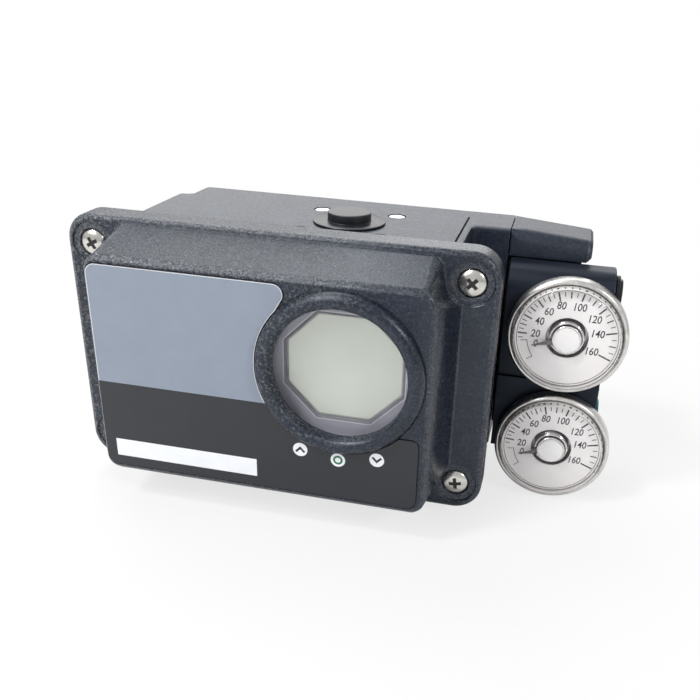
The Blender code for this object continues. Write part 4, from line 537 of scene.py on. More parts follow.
def label_outline(grow, radius):
    """The label's outline: a rectangle that gives way to a circle about the window."""
    left, bottom = (value - grow for value in LABEL_CORNERS[:2])
    right, top = (value + grow for value in LABEL_CORNERS[2:])
    foot = LABEL_FOOT_Z + grow
    shoulder = LABEL_SHOULDER_X + grow
    corner = LABEL_RADIUS + grow
    small = LABEL_SMALL_RADIUS + grow
    foot_angle = math.degrees(math.asin((foot - WINDOW_Z) / radius))
    shoulder_angle = 180 - math.degrees(math.asin((top - LABEL_SHOULDER_DROP - WINDOW_Z) / radius))
    points = arc((left + corner, bottom + corner), corner, 180, 270, 8)
    points += arc((right - corner, bottom + corner), corner, 270, 360, 8)
    points += arc((right - small, foot - small), small, 0, 90, 8)
    points += arc((WINDOW_X, WINDOW_Z), radius, foot_angle, shoulder_angle - 360, 64)
    points += arc((shoulder - corner, top - corner), corner, -20, 90, 9)
    points += arc((left + corner, top - corner), corner, 90, 180, 8)
    return points


def flange_outline(inset, steps=16):
    """The flange's outline, drawn in by an inset."""
    half_w = LID_HALF_WIDTH - inset
    half_h = LID_HALF_HEIGHT - inset
    return rounded(-half_w, half_w, -half_h, half_h, LID_CORNER - inset, steps)


def lid_mesh():
    """The lid as one closed shell."""
    sections = []
    for angle in range(90, -1, -15):
        inset = LID_EDGE * (1 - math.cos(math.radians(angle)))
        sections.append(facing(flange_outline(inset), LID_EDGE * (1 - math.sin(math.radians(angle)))))
    sections.append(facing(flange_outline(0.0), SKIRT_END - SKIRT_BREAK))
    sections.append(facing(flange_outline(SKIRT_BREAK), SKIRT_END))
    lid = loft(sections)
    lid = carved(lid, slab(flange_outline(SKIRT_WALL, 10), LID_FACE, SKIRT_END + 1))
    recess = [(0.0, -LID_FACE - 1), (2.5, -LID_FACE - 1), (2.5, -2.6), (4.8, -2.6), (4.8, -0.95),
              (4.95, -0.8), (6.9, -0.8), (7.05, -0.72), (7.2, -0.5), (7.25, -0.15), (7.45, 0.0), (7.45, 1.5),
              (0.0, 1.5)]
    holes = [turned(recess, (side * SCREW_X, 0.0, level * SCREW_Z))
             for side in (-1, 1) for level in (-1, 1)]
    lid = carved(lid, merged(*holes))

    rise = -PANEL_FRONT - PANEL_EDGE
    root = panel_section(0.0, -ROOT_FLARE)
    panel = [facing(root, LID_FACE / 2), facing(root, 0.05)]
    for angle in (20, 45, 70, 90):
        down = 1 - math.sin(math.radians(angle))
        depth = ROOT_FLARE * (1 - math.cos(math.radians(angle)))
        panel.append(facing(panel_section(depth / -PANEL_FRONT, -ROOT_FLARE * down), -depth))
    panel.append(facing(panel_section(0.5, 0.0), PANEL_FRONT / 2))
    panel.append(facing(panel_section(rise / -PANEL_FRONT, 0.0), -rise))
    for angle in range(15, 91, 15):
        inset = PANEL_EDGE * (1 - math.cos(math.radians(angle)))
        panel.append(facing(panel_section(1.0, inset), -rise - PANEL_EDGE * math.sin(math.radians(angle))))
    pocket = slab(label_outline(0.3, RING_RADIUS - 1), PANEL_FRONT - 1, PANEL_FRONT + 0.5)
    raised = carved(loft(panel), pocket)
    ring = turned(ring_profile(), (WINDOW_X, PANEL_FRONT, WINDOW_Z), 144, True)
    lid = carved(lid, carved(raised, ring, "UNION"), "UNION")
    hollow = [facing(panel_section(0.0, 2.8), LID_FACE + 1), facing(panel_section(0.0, 2.8), 0.0),
              facing(panel_section(1.0, 2.8), PANEL_INSIDE)]
    lid = carved(lid, loft(hollow))
    lid = carved(lid, bar(26.9, 13.65, 17.9, WINDOW_SPOT, 96), "UNION")
    lip = RING_LIP - PANEL_FRONT
    opening = [(0.0, 11.0), (GLASS_RADIUS + 0.3, 11.0), (GLASS_RADIUS + 0.3, -GLASS_SEAT),
               (WINDOW_RADIUS, -GLASS_SEAT), (WINDOW_RADIUS, lip - 0.25), (WINDOW_RADIUS + 0.3, lip + 0.2),
               (WINDOW_RADIUS + 0.3, 25.0), (0.0, 25.0)]
    return carved(lid, turned(opening, WINDOW_SPOT, 144))


def on_ring(spot):
    """True for a spot on the window's ring, whose crest stays as it was coated."""
    middle = at(*WINDOW_SPOT)
    return math.hypot(spot.x - middle.x, spot.z - middle.z) < (RING_RADIUS + 0.2) * MM


lid_coat = powder_coat("lid_coat", 0.3, 0.26, 0.25)
piece("lid_casting", mark_rims(shaded(lid_mesh(), 34.0), spared=on_ring), lid_coat, "case_coat", "lid")


# Lid screws
# Four stainless pan-head machine screws with a cross recess, driven down into counterbores in the
# lid's corners. The recess is pressed, so it has sloping walls; a dark cross that fills its lower
# part is painted shade.
SCREW_TURNS = {(-1, 1): 30.0, (1, 1): 45.0, (1, -1): 9.0, (-1, -1): 68.0}
SCREW_CROWN = 0.3
SCREW_SEAT = 2.3
SCREW_HEAD_RADIUS = 4.42
CROWN_ANGLE = math.radians(78)
CROSS_SIZE = 2.25


def bright_metal(name, colour, roughness, lines=(1.0, 1.0, 1.0), depth=0.003):
    """Bare metal with fine tool lines, faint stains and scuffs."""
    material, shader, where = finish(name, colour, roughness, 1.0)
    fine = where.noise(0.28, 3.0, 0.6, lines)
    stain = where.noise(3.5, 3.0, 0.6)
    dulled = stain.between(0.35, 0.75).blend(colour, tuple(value * 0.72 for value in colour))
    scuffs = where.noise(0.9, 4.0, 0.7, (1.0, 1.0, 3.0)).between(0.55, 0.8)
    rough = fine.between(0.3, 0.7, roughness - 0.05, roughness + 0.1) + scuffs * 0.12
    wire(shader, base_color=dulled, roughness=rough, normal=where.bump(fine + scuffs * 0.4, depth))
    return material


def cross_tool(spot, angle, size, depth):
    """The tapered cross that presses a screw's recess."""
    across, around, along = (Vector(axis) for axis in AXES["front"])
    wide = size * 0.25
    levels = ((0.6, size * 1.12, wide * 1.25), (-depth * 0.55, size * 0.72, wide * 0.85),
              (-depth, size * 0.25, wide * 0.5))
    blades = []
    for quarter in (0, 90):
        turned_by = math.radians(angle + quarter)
        run = across * math.cos(turned_by) + around * math.sin(turned_by)
        side = around * math.cos(turned_by) - across * math.sin(turned_by)
        sections = []
        for height, reach, half in levels:
            corners = [(reach, -half), (reach, half), (-reach, half), (-reach, -half)]
            sections.append([Vector(spot) + run * u + side * v + along * height for u, v in corners])
        blades.append(loft(sections))
    return carved(*blades, "UNION")


screw_steel = bright_metal("screw_steel", (0.74, 0.72, 0.68), 0.2, depth=0.006)
painted_recess_shade, recess_shader, where = finish("painted_recess_shade", (0.01, 0.01, 0.011), 0.6)
shade_and_grime = where.noise(0.5).between(0.35, 0.7).blend((0.006, 0.006, 0.007), (0.03, 0.028, 0.026))
wire(recess_shader, base_color=shade_and_grime)
head = [(0.0, -14.0), (2.0, -14.0), (2.2, -13.6), (2.2, -SCREW_SEAT), (4.3, -SCREW_SEAT),
        (4.5, -SCREW_SEAT + 0.2), (4.5, -1.35), (SCREW_HEAD_RADIUS, -1.0)]
for step in range(1, 9):
    angle = CROWN_ANGLE * (1 - step / 8)
    head.append((SCREW_HEAD_RADIUS * math.sin(angle) / math.sin(CROWN_ANGLE),
                 SCREW_CROWN - 1.3 * (1 - math.cos(angle)) / 0.792))
for number, ((side, level), cross_turn) in enumerate(SCREW_TURNS.items(), 1):
    spot = (side * SCREW_X, 0.0, level * SCREW_Z)
    top = (spot[0], -SCREW_CROWN, spot[2])
    cross = cross_tool(top, cross_turn, CROSS_SIZE, 2.4)
    pressed = carved(turned(head, spot, 64), cross)
    piece(f"lid_screw_{number}_turned", shaded(pressed, 28.0), screw_steel, "bright_steel",
          f"lid_screw_{number}")
    # A dark cross in the lower part of each recess is painted shade.
    floor_of_cross = cross_tool((spot[0], 0.75, spot[2]), cross_turn, CROSS_SIZE, 1.2)
    piece(f"lid_screw_{number}_recess", floor_of_cross, painted_recess_shade, "bright_steel")


# Window
# A glass disc on a rubber seal behind the lid's ring. Under it lies a moulded mask with an
# eight-sided opening and, close behind, the reflective liquid crystal panel on its circuit board.
MASK_FRONT = -13.5
MASK_RADIUS = 25.8
LCD_FRONT = -12.4
LCD_BACK = -10.0
LCD_HALF_WIDTH = 18.5
LCD_HALF_HEIGHT = 17.1
LCD_CUT = 10.1
LCD_DROP = 0.3


def octagon(margin, corner=0.6):
    """The display's outline, grown by a margin, with small round corners."""
    half_w = LCD_HALF_WIDTH + margin
    half_h = LCD_HALF_HEIGHT + margin
    slant = LCD_CUT + margin * (2 - math.sqrt(2))
    points = [(half_w, half_h - slant), (half_w - slant, half_h)]
    points += [(-x, z) for x, z in reversed(points)]
    points += [(-x, -z) for x, z in points[:2]] + [(x, -z) for x, z in reversed(points[:2])]
    result = []
    for index, here in enumerate(points):
        here = Vector(here)
        before = (Vector(points[index - 1]) - here).normalized() * corner
        after = (Vector(points[(index + 1) % len(points)]) - here).normalized() * corner
        for step in range(5):
            share = step / 4
            spot = (here + before) * (1 - share) ** 2 + here * 2 * share * (1 - share)
            spot += (here + after) * share ** 2
            result.append((WINDOW_X + spot.x, WINDOW_Z - LCD_DROP + spot.y))
    return result


def soft_black(name, colour, roughness, size=0.35, depth=0.006, mottle=1.35):
    """Moulded rubber or plastic: an even skin with faint mottling and pores."""
    material, shader, where = finish(name, colour, roughness)
    skin = where.noise(size, 3.0)
    flow = where.noise(6.0, 2.0)
    tone = flow.between(0.35, 0.7).blend(colour, tuple(min(1.0, value * mottle) for value in colour))
    rough = skin.between(0.3, 0.7, roughness - 0.06, roughness + 0.08)
    wire(shader, base_color=tone, roughness=rough, normal=where.bump(skin + flow * 0.3, depth))
    return material


def clear_pane(name, tint, opacity, roughness=0.03):
    """A clear pane: almost nothing straight on, a mirror at a glancing angle, with faint haze."""
    material, shader, where = finish(name, tint, roughness, 1.0)
    slant = where.node("ShaderNodeLayerWeight", {}, {"Blend": 0.5}, 1)
    square = slant * slant
    glance = square * square * slant * 0.96 + 0.012
    haze = where.noise(9.0, 3.0).between(0.5, 0.8, 0.0, 0.006)
    rough = where.noise(4.0).between(0.3, 0.8, roughness, roughness + 0.03)
    wire(shader, alpha=glance * opacity + haze, roughness=rough)
    return material


rubber = soft_black("rubber", (0.012, 0.012, 0.013), 0.7, 0.25, 0.01)
seal = hoop(WINDOW_RADIUS + 0.3, GLASS_RADIUS, 17.1, 17.7, WINDOW_SPOT, 96)
piece("window_seal_ring", shaded(seal), rubber, "seal_rubber", "window_seal")

pane = clear_pane("pane", (0.95, 0.96, 1.0), 1.0)
disc = [(0.0, -GLASS_BACK), (GLASS_RADIUS - 0.3, -GLASS_BACK), (GLASS_RADIUS, -GLASS_BACK + 0.3),
        (GLASS_RADIUS, -GLASS_FRONT - 0.3), (GLASS_RADIUS - 0.3, -GLASS_FRONT), (0.0, -GLASS_FRONT)]
piece("window_pane", shaded(turned(disc, WINDOW_SPOT)), pane, "window_glass", "window_glass")

mask_plastic = soft_black("mask_plastic", (0.39, 0.39, 0.46), 0.42, 0.5, 0.004, 1.1)
# The chamfer's darker grey and the lip's paler grey on the same moulding are painted shade and a painted
# highlight along the opening's edge.
mask_edge = soft_black("mask_edge", (0.12, 0.12, 0.14), 0.5, 0.5, 0.004, 1.2)
mask_lip = soft_black("mask_lip", (0.6, 0.6, 0.66), 0.3, 0.5, 0.004, 1.1)
mask = carved(bar(MASK_RADIUS, 12.7, 13.5, WINDOW_SPOT, 96), slab(octagon(1.35), MASK_FRONT - 0.2, -12.0))
piece("display_mask_moulding", shaded(mask, 20.0), mask_plastic, "display_mask", "display_mask")
chamfer = carved(slab(octagon(1.4), MASK_FRONT, MASK_FRONT + 0.8),
                 loft([facing(octagon(1.25), MASK_FRONT - 0.1), facing(octagon(0.55), MASK_FRONT + 0.55),
                       facing(octagon(0.5), -12.0)]))
piece("display_mask_chamfer", shaded(chamfer, 20.0), mask_edge, "display_mask")
lip = carved(slab(octagon(1.75), MASK_FRONT - 0.12, MASK_FRONT),
             slab(octagon(1.35), MASK_FRONT - 0.3, -12.0))
piece("display_mask_lip", shaded(lip, 20.0), mask_lip, "display_mask")

# The panel's emission is painted light: a faint glow that evens out the shade the ring and mask cast on it.
crystal, crystal_shader, where = finish("crystal", (0.36, 0.385, 0.345), 0.3, coat_weight=0.3,
                                        coat_roughness=0.1, emission_strength=0.34,
                                        emission_color=(0.66, 0.7, 0.63, 1.0))
sheen = where.noise(22.0, 1.0).between(0.3, 0.75)
pixels = where.noise(0.5, 1.0)
tone = sheen.blend((0.35, 0.372, 0.335), (0.362, 0.385, 0.345))
rough = pixels.between(0.3, 0.7, 0.28, 0.33)
wire(crystal_shader, base_color=tone, roughness=rough, normal=where.bump(pixels, 0.0006))
glass_edge = octagon(1.5, 0.4)
panel_of_crystal = loft([facing(octagon(1.2, 0.4), LCD_FRONT), facing(glass_edge, LCD_FRONT + 0.3),
                         facing(glass_edge, LCD_BACK)])
piece("liquid_crystal_panel", shaded(panel_of_crystal, 20.0), crystal, "display_glass", "lcd_panel")
bezel_film = soft_black("bezel_film", (0.34, 0.35, 0.345), 0.35, 0.4, 0.002, 1.1)
surround = carved(slab(octagon(0.95, 0.4), LCD_FRONT - 0.04, LCD_FRONT),
                  slab(octagon(0.0, 0.5), LCD_FRONT - 0.1, LCD_FRONT + 0.1))
piece("display_surround", shaded(surround, 20.0), bezel_film, "display_glass")


# Circuit boards
# Glass-epoxy boards under green solder mask, with etched tracks that show through and round tinned
# pads. They carry the display, the three magnetic key sensors and the main electronics.
board_finish, board_shader, where = finish("board_finish", (0.02, 0.16, 0.06), 0.4, coat_weight=0.35)
upright = where.node("ShaderNodeMapping", {}, {"Vector": where, "Rotation": (math.pi / 2, 0, 0)})
tracks = where.node("ShaderNodeTexBrick", {"offset": 0.5, "squash": 0.6}, {
    "Vector": upright, "Scale": 320.0, "Mortar Size": 0.035, "Color1": (0, 0, 0, 1), "Color2": (0, 0, 0, 1),
    "Mortar": (1, 1, 1, 1)})
pads = where.cells(3.1).between(0.16, 0.2, 1.0, 0.0)
green = tracks.blend((0.012, 0.11, 0.045), (0.03, 0.22, 0.09))
tinned = pads.blend(green, (0.55, 0.56, 0.56))
rough = pads.between(0.0, 1.0, 0.42, 0.25) + where.noise(1.0).between(0.3, 0.7, -0.03, 0.05)
board_height = pads * 0.6 + tracks.between(0.0, 1.0, 0.0, 0.4)
wire(board_shader, base_color=tinned, metallic=pads, roughness=rough, normal=where.bump(board_height, 0.05))


def dress(material, *nodes):
    """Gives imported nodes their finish."""
    for node in nodes:
        coated(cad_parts[node].data, material)


dress(board_finish, "display_board", "key_sensor_board", "main_board")


# Label
# A polyester label with a satin face in a shallow pocket: blue-grey above, dark grey below, a fine
# pale border round its upper part, a blank white field for a tag number and three key symbols.
DIVIDE = -4.5
PRINT = 0.02


def film(name, colour, roughness=0.36):
    """Printed polyester film: an even satin face with a very fine emboss and faint handling marks."""
    material, shader, where = finish(name, colour, roughness, coat_weight=0.12, coat_roughness=0.25)
    emboss = where.noise(0.3, 2.0)
    marks = where.noise(11.0, 4.0, 0.65)
    tone = marks.between(0.4, 0.75).blend(colour, tuple(min(1.0, value * 1.06 + 0.002) for value in colour))
    rough = emboss.between(0.3, 0.7, roughness - 0.04, roughness + 0.05)
    rough = rough + marks.between(0.55, 0.8, 0.0, 0.08)
    wire(shader, base_color=tone, roughness=rough, normal=where.bump(emboss, 0.002))
    return material


def above_divide(outline):
    """The part of a closed outline above the divide."""
    result = []
    for index, here in enumerate(outline):
        after = outline[(index + 1) % len(outline)]
        if here[1] >= DIVIDE:
            result.append(here)
        if (here[1] >= DIVIDE) != (after[1] >= DIVIDE):
            share = (DIVIDE - here[1]) / (after[1] - here[1])
            result.append((here[0] + (after[0] - here[0]) * share, DIVIDE))
    return result


def sheet_of(outline, level):
    """A thin closed layer of print, whose face stands level millimetres in front of the label."""
    return slab(outline, LABEL_FRONT - level, LABEL_FRONT - level + PRINT)


dark_film = film("dark_film", (0.012, 0.014, 0.019))
blue_film = film("blue_film", (0.25, 0.292, 0.362))
white_ink = film("white_ink", (0.88, 0.9, 0.94))
black_ink = film("black_ink", (0.012, 0.012, 0.014))
green_ink = film("green_ink", (0.012, 0.17, 0.075))
label_edge = label_outline(0.0, RING_RADIUS + 0.3)
label_plate = loft([facing(label_outline(-0.08, RING_RADIUS + 0.38), LABEL_FRONT),
                    facing(label_edge, LABEL_FRONT + 0.08), facing(label_edge, LABEL_BACK)])
piece("label_plate", shaded(label_plate, 20.0), dark_film, "label_film", "front_label")
border = above_divide(label_outline(-0.1, RING_RADIUS + 0.4))
piece("label_border", sheet_of(border, 0.02), white_ink, "label_film")
upper_field = above_divide(label_outline(-0.28, RING_RADIUS + 0.58))
piece("label_upper_field", sheet_of(upper_field, 0.04), blue_film, "label_film")
tag_field = [(-51.4, -32.4), (-0.5, -32.4), (-0.5, -25.9), (-51.4, -25.9)]
piece("label_tag_field", sheet_of(tag_field, 0.02), white_ink, "label_film")

KEYS = {"up": (14.75, -19.6), "set": (27.5, -21.5), "down": (40.4, -19.4)}
for key, (x, z) in KEYS.items():
    spot = (x, LABEL_FRONT, z)
    piece(f"key_{key}_disc", bar(2.45, -0.005, 0.02, spot, 48), white_ink, "label_film")
    if key == "set":
        piece("key_set_ring", hoop(0.95, 1.6, 0.0, 0.04, spot, 48), green_ink, "label_film")
        continue
    way = 1 if key == "up" else -1
    chevron = [(-1.72, -0.7), (0.0, 1.1), (1.72, -0.7), (1.2, -1.2), (0.0, 0.05), (-1.2, -1.2)]
    mark = [(x + u, z + way * (v + 0.05)) for u, v in chevron]
    piece(f"key_{key}_mark", sheet_of(mark, 0.04), black_ink, "label_film")


# Painted shade
# Narrow dark bands run round the raised pad's foot and the window's ring: painted shade where the
# pad's step and the ring's root meet the surface round them, faintly mottled, and they barely shine.
low_x, high_x, low_y, high_y = -1.9, 55.0, 12.0, 55.5
# This near-black, barely shining finish is painted shade.
painted_shade_black, painted_shade_shader, where = finish("painted_shade_black", (0.006, 0.007, 0.01), 0.8,
                                            specular_ior_level=0.05)
shade_mottle = where.noise(1.5).between(0.4, 0.7).blend((0.004, 0.005, 0.007), (0.02, 0.021, 0.024))
wire(painted_shade_shader, base_color=shade_mottle)
shade_band = []
for grow, height in ((0.5, -0.3), (0.5, 0.05), (0.05, 0.05), (0.05, -0.3)):
    outline = rounded(low_x - grow, high_x + grow, low_y - grow, high_y + grow, 1.0 + grow)
    shade_band.append([(x, y, HOUSING_HALF_HEIGHT + height) for x, y in outline])
piece("pad_foot_shade", loft(shade_band, True), painted_shade_black, "case_coat")
# The dark hoop at the ring's root is painted shade.
foot = hoop(RING_RADIUS - 0.1, RING_RADIUS + 0.25, 19.0, 19.42, WINDOW_SPOT, 144)
piece("ring_foot_shade", foot, painted_shade_black, "case_coat")


# Top fittings
# A moulded disc with a short knob caps the shaft's upper end. Four plated threaded inserts round it
# lie just below the pad, each ringed by a band of painted shade on its socket's wall.
SHAFT_X = 16.6
SHAFT_Y = 30.4
PAD_TOP = 43.5
moulded = soft_black("moulded", (0.003, 0.004, 0.007), 0.35, 0.3, 0.004)
cap = [(0.0, PAD_TOP - 2.0), (7.5, PAD_TOP - 2.0), (7.5, 43.6), (12.4, 43.6), (12.5, 43.7), (12.5, 44.1),
       (12.4, 44.25), (12.25, 44.3), (7.65, 44.3), (7.5, 44.45), (7.5, 46.95), (7.42, 47.15), (7.2, 47.3),
       (6.9, 47.35), (6.6, 47.33), (0.0, 47.3)]
cap_mesh = turned(cap, (SHAFT_X, SHAFT_Y, 0.0), towards="top")
piece("shaft_cap", shaded(cap_mesh, 26.0), moulded, "black_plastic", "top_cap")
plated = bright_metal("plated", (0.93, 0.92, 0.9), 0.38, depth=0.008)
insert = [(0.0, 40.4), (2.9, 40.4), (2.9, 43.2), (2.75, 43.32), (1.7, 43.32), (1.5, 43.24), (0.0, 43.22)]
# A dark ring round each insert, on the socket's wall, is painted shade.
socket = [(2.95, 41.5), (2.95, 43.3), (3.0, 43.5), (3.25, 43.53), (3.3, 43.5), (3.3, 41.5)]
INSERT_PLACES = ((-13.8, 14.3), (13.8, 14.3), (-13.8, -14.3), (13.8, -14.3))
for number, (across, behind) in enumerate(INSERT_PLACES, 1):
    spot = (SHAFT_X + across, SHAFT_Y + behind, 0.0)
    piece(f"threaded_insert_{number}", shaded(turned(insert, spot, 48, towards="top"), 26.0), plated,
          "bright_steel", f"top_insert_{number}")
    shade_ring_mesh = turned(socket, spot, 48, True, "top")
    piece(f"insert_shade_ring_{number}", shade_ring_mesh, painted_shade_black, "case_coat")


# Shaft, gears and sensor
# The feedback shaft turns in two sintered bushes and drives a moulded pinion on the angle sensor
# through a nylon gear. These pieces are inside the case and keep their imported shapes.
shaft_steel = bright_metal("shaft_steel", (0.62, 0.61, 0.58), 0.28, (1.0, 1.0, 14.0), 0.004)
sintered = bright_metal("sintered", (0.5, 0.32, 0.17), 0.42, depth=0.02)
turned_brass = bright_metal("turned_brass", (0.7, 0.5, 0.23), 0.26, (12.0, 1.0, 1.0), 0.005)
nylon = soft_black("nylon", (0.7, 0.69, 0.64), 0.45, 0.4, 0.006, 0.93)
sheet_steel = bright_metal("sheet_steel", (0.6, 0.6, 0.6), 0.34, (1.0, 16.0, 1.0), 0.006)
dress(shaft_steel, "feedback_shaft", "shaft_circlip", "valve_spool")
dress(sintered, "shaft_bush_lower", "shaft_bush_upper")
dress(nylon, "shaft_gear", "sensor_pinion")
dress(moulded, "angle_sensor", "terminal_block")
dress(sheet_steel, "sensor_bracket")
dress(rubber, "lid_gasket", "manifold_gasket")
dress(turned_brass, "valve_sleeve")
nickel = bright_metal("nickel", (0.3, 0.27, 0.31), 0.3, depth=0.004)
dress(nickel, "upper_gauge_stem", "lower_gauge_stem")


# Current-to-pressure unit
# A small aluminium block with a wound coil on it, tumbled after casting, screwed to the rear wall.
cast_aluminium = bright_metal("cast_aluminium", (0.56, 0.56, 0.58), 0.46, depth=0.03)
worked_piece("converter_block", "current_to_pressure_unit", 0.35, cast_aluminium, "unit_aluminium")


# Conduit plugs and earth screw
# Moulded plugs with hexagon sockets close the two cable entries, and a brass screw stands ready for
# the earth lead.
for number in (1, 2):
    worked_piece(f"entry_plug_{number}", f"conduit_plug_{number}", 0.3, moulded, "black_plastic")
worked_piece("earth_terminal_screw", "earth_screw", 0.18, turned_brass, "brass")


# Manifold
# A machined aluminium block, coated satin black, with its front faced by a wide cutter that leaves
# fine level lines. It carries the gauges, the ports and the relay valve.
def milled_coat(name, gloss):
    """Satin black over milled aluminium: level cutter lines, fine texture and rims painted lighter as
    edge wear and painted highlight.
    """
    material, shader, where = finish(name, (0.008, 0.012, 0.024), gloss, specular_ior_level=0.3,
                                     specular_tint=(0.72, 0.86, 1.0, 1.0))
    lines = where.noise(0.35, 2.0, 0.5, (0.02, 1.0, 1.0))
    texture = where.noise(0.5, 4.0, 0.6)
    streaks = where.noise(3.2, 3.0, 0.6, (0.12, 1.0, 1.0))
    rim = where.node("ShaderNodeAttribute", {"attribute_name": "rim"}, {}, 2)
    # Rims are painted lighter: partly edge wear, partly a painted highlight along the edges.
    rim_wear_and_glint = rim * where.noise(1.0, 3.0, 0.7).between(0.42, 0.65)
    tone = streaks.between(0.35, 0.7).blend((0.006, 0.008, 0.015), (0.012, 0.015, 0.024))
    worn_and_glinting = (rim_wear_and_glint * 0.4).blend(tone, (0.09, 0.095, 0.105))
    rough = streaks.between(0.3, 0.7, gloss - 0.08, gloss + 0.08)
    wire(shader, base_color=worn_and_glinting, roughness=rough, normal=where.bump(lines * 0.8 + texture * 0.6, 0.012))
    return material


manifold_black = milled_coat("manifold_black", 0.42)
worked_piece("manifold_block", "manifold", 0.35, manifold_black, "manifold_coat")
for number in (1, 2, 3):
    worked_piece(f"manifold_cap_screw_{number}", f"manifold_screw_{number}", 0.2, screw_steel, "bright_steel")


# Port plugs
# Two moulded plugs close the manifold's ports until tubing is fitted. The black one at the output
# has a ribbed collar and a knob to pull it by, the teal one at the supply lies nearly flush.
teal = soft_black("teal", (0.01, 0.25, 0.36), 0.34, 0.3, 0.004, 1.15)
PORT_FACE = 109.0
PORT_Y = 37.2
PLUG_SPIGOT = [(0.0, -8.0), (4.3, -8.0), (4.3, 0.3), (6.45, 0.3), (6.6, 0.4)]
ribbed = PLUG_SPIGOT + [(6.6, 0.6), (6.4, 0.75), (6.4, 0.85), (6.6, 1.0), (6.6, 1.2), (6.45, 1.38),
                        (5.5, 1.4), (5.4, 1.5), (5.4, 2.1), (5.25, 2.3), (4.9, 2.4), (0.0, 2.38)]
level = PLUG_SPIGOT + [(6.6, 0.7), (6.5, 0.9), (6.2, 1.03), (5.8, 1.07), (3.2, 1.07), (3.0, 0.85),
                       (0.0, 0.8)]
for name, z, outline, material, slot in (("output", 25.6, ribbed, moulded, "black_plastic"),
                                         ("supply", -21.6, level, teal, "teal_plastic")):
    mesh = turned(outline, (PORT_FACE, PORT_Y, z), 72, towards="right")
    piece(f"{name}_plug_moulding", shaded(mesh, 30.0), material, slot, f"{name}_port_plug")


# Relay valve
# Sleeve, spool and spring lie in the manifold's bore behind a steel end plug with a hexagon socket.
# The spring stands between spool and plug.
worked_piece("valve_plug", "valve_end_plug", 0.25, plated, "bright_steel")
spring = put("return_spring", coated(shaded(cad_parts["valve_spring"].data.copy()), shaft_steel))
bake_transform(spring)
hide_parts("valve_spring")


# Hood
# A cast cover with a sloping top over the relay, powder coated like the case, held by one screw at
# the back.
hood_black = powder_coat("hood_black", 0.2, 0.02, 0.42)
worked_piece("hood_casting", "relay_hood", 0.3, hood_black, "hood_coat", angle=35.0)
worked_piece("hood_fixing_screw", "hood_screw", 0.15, screw_steel, "bright_steel")


# Gauges
# Two 40 mm gauges screwed into the manifold. The rolled edge of a stainless case holds a clear cap
# over the white dial. A coiled tube turns the pointer with the white button. A pale band with dark
# dots inside the cap's edge is a painted reflection of the ticks.
GAUGE_X = 95.1
GAUGES = {"upper": 12.7, "lower": -30.0}
DIAL_FACE = 24.0
INK = 0.03
SCALE = ((0, 202.7), (20, 179.2), (40, 155.7), (60, 131.9), (80, 106.3), (100, 76.7), (120, 46.4),
         (140, 13.4), (160, -22.3))
NUMBER_PLACES = ((-10.3, -3.15), (-10.7, 0.4), (-9.8, 5.0), (-7.1, 8.7), (-3.2, 11.3), (2.75, 11.3),
                 (8.1, 7.7), (9.8, 2.7), (8.6, -3.8))
NUMBER_SIZE = 3.8
BRACKET_ENDS = (189.3, 216.0)
case_profile = [(3.7, -29.7), (17.5, -29.7), *arc((19.1, -28.3), 1.4, -90, 0, 6), (20.5, -25.2)]
case_profile += [(19.5 + x, -25.2 + z * 1.4) for x, z in arc((0, 0), 1.0, 15, 90, 6)]
case_profile += [*arc((19.5, -24.55), 0.75, 105, 180, 4), (18.7, -25.0), (18.9, -25.3), (19.7, -26.2),
                 (19.7, -28.0), (18.6, -28.9), (3.7, -28.9)]
polished = bright_metal("polished", (0.76, 0.745, 0.725), 0.27, (1.0, 8.0, 1.0), 0.002)
lens_profile = [(0.0, -20.4), (15.2, -20.4), (16.3, -20.48), (17.2, -20.78), (17.85, -21.3), (18.25, -22.05),
                (18.42, -23.0), (18.45, -25.2), (17.9, -25.2), (17.75, -24.9), (17.7, -23.2), (17.5, -22.5),
                (17.0, -21.8), (16.3, -21.4), (15.2, -21.2), (0.0, -21.2)]
lens_clear = clear_pane("lens_clear", (0.97, 0.97, 0.98), 1.1, 0.02)
# A pale band inside the lens's skirt is painted reflection, the ticks as the curved lens edge mirrors them.
reflection_band_profile = [(17.65, -22.0), (17.9, -22.0), (18.35, -24.95), (18.1, -24.95)]
lens_reflection_band = film("lens_reflection_band", (0.8, 0.78, 0.77), 0.25)
dial_profile = [(7.2, -24.5), (17.6, -24.5), (17.6, -24.0), (7.4, -24.0), (7.2, -24.15)]
dial_paint = film("dial_paint", (0.93, 0.9, 0.9), 0.3)
dial_ink = film("dial_ink", (0.022, 0.022, 0.026), 0.4)
button_white = film("button_white", (0.96, 0.945, 0.94), 0.25)
button = [(0.0, -22.2), (4.3, -22.2), (4.3, -21.6), (4.2, -21.42), (3.95, -21.35), (0.0, -21.35)]
collar = [(0.0, -22.7), (4.8, -22.7), (4.95, -22.6), (4.95, -22.35), (4.8, -22.25), (0.0, -22.25)]
pointer_paint = bright_metal("pointer_paint", (0.13, 0.13, 0.14), 0.35, depth=0.002)
coil_silver = bright_metal("coil_silver", (0.76, 0.74, 0.74), 0.16, depth=0.003)
POINTER_ANGLE = 196.0
BLADE = ((4.6, -0.95), (11.9, -0.15), (11.9, 0.15), (4.6, 0.95))
BLADE_FRONT = 22.4
BLADE_BACK = 22.6
COIL_RADIUS = 5.5
COIL_WIRE = 0.48


def coil(z, front, back, turns):
    """The gauge's tube, wound into a coil about its axis."""
    steps = int(turns * 48)
    sections = []
    for step in range(steps + 1):
        angle = math.tau * turns * step / steps
        run = Vector((math.cos(angle), 0.0, math.sin(angle)))
        middle = Vector((GAUGE_X, front + (back - front) * step / steps, z)) + run * COIL_RADIUS
        around = arc((0, 0), COIL_WIRE, 0, 324, 9)
        sections.append([middle + run * u + Vector((0.0, v, 0.0)) for u, v in around])
    return loft(sections)


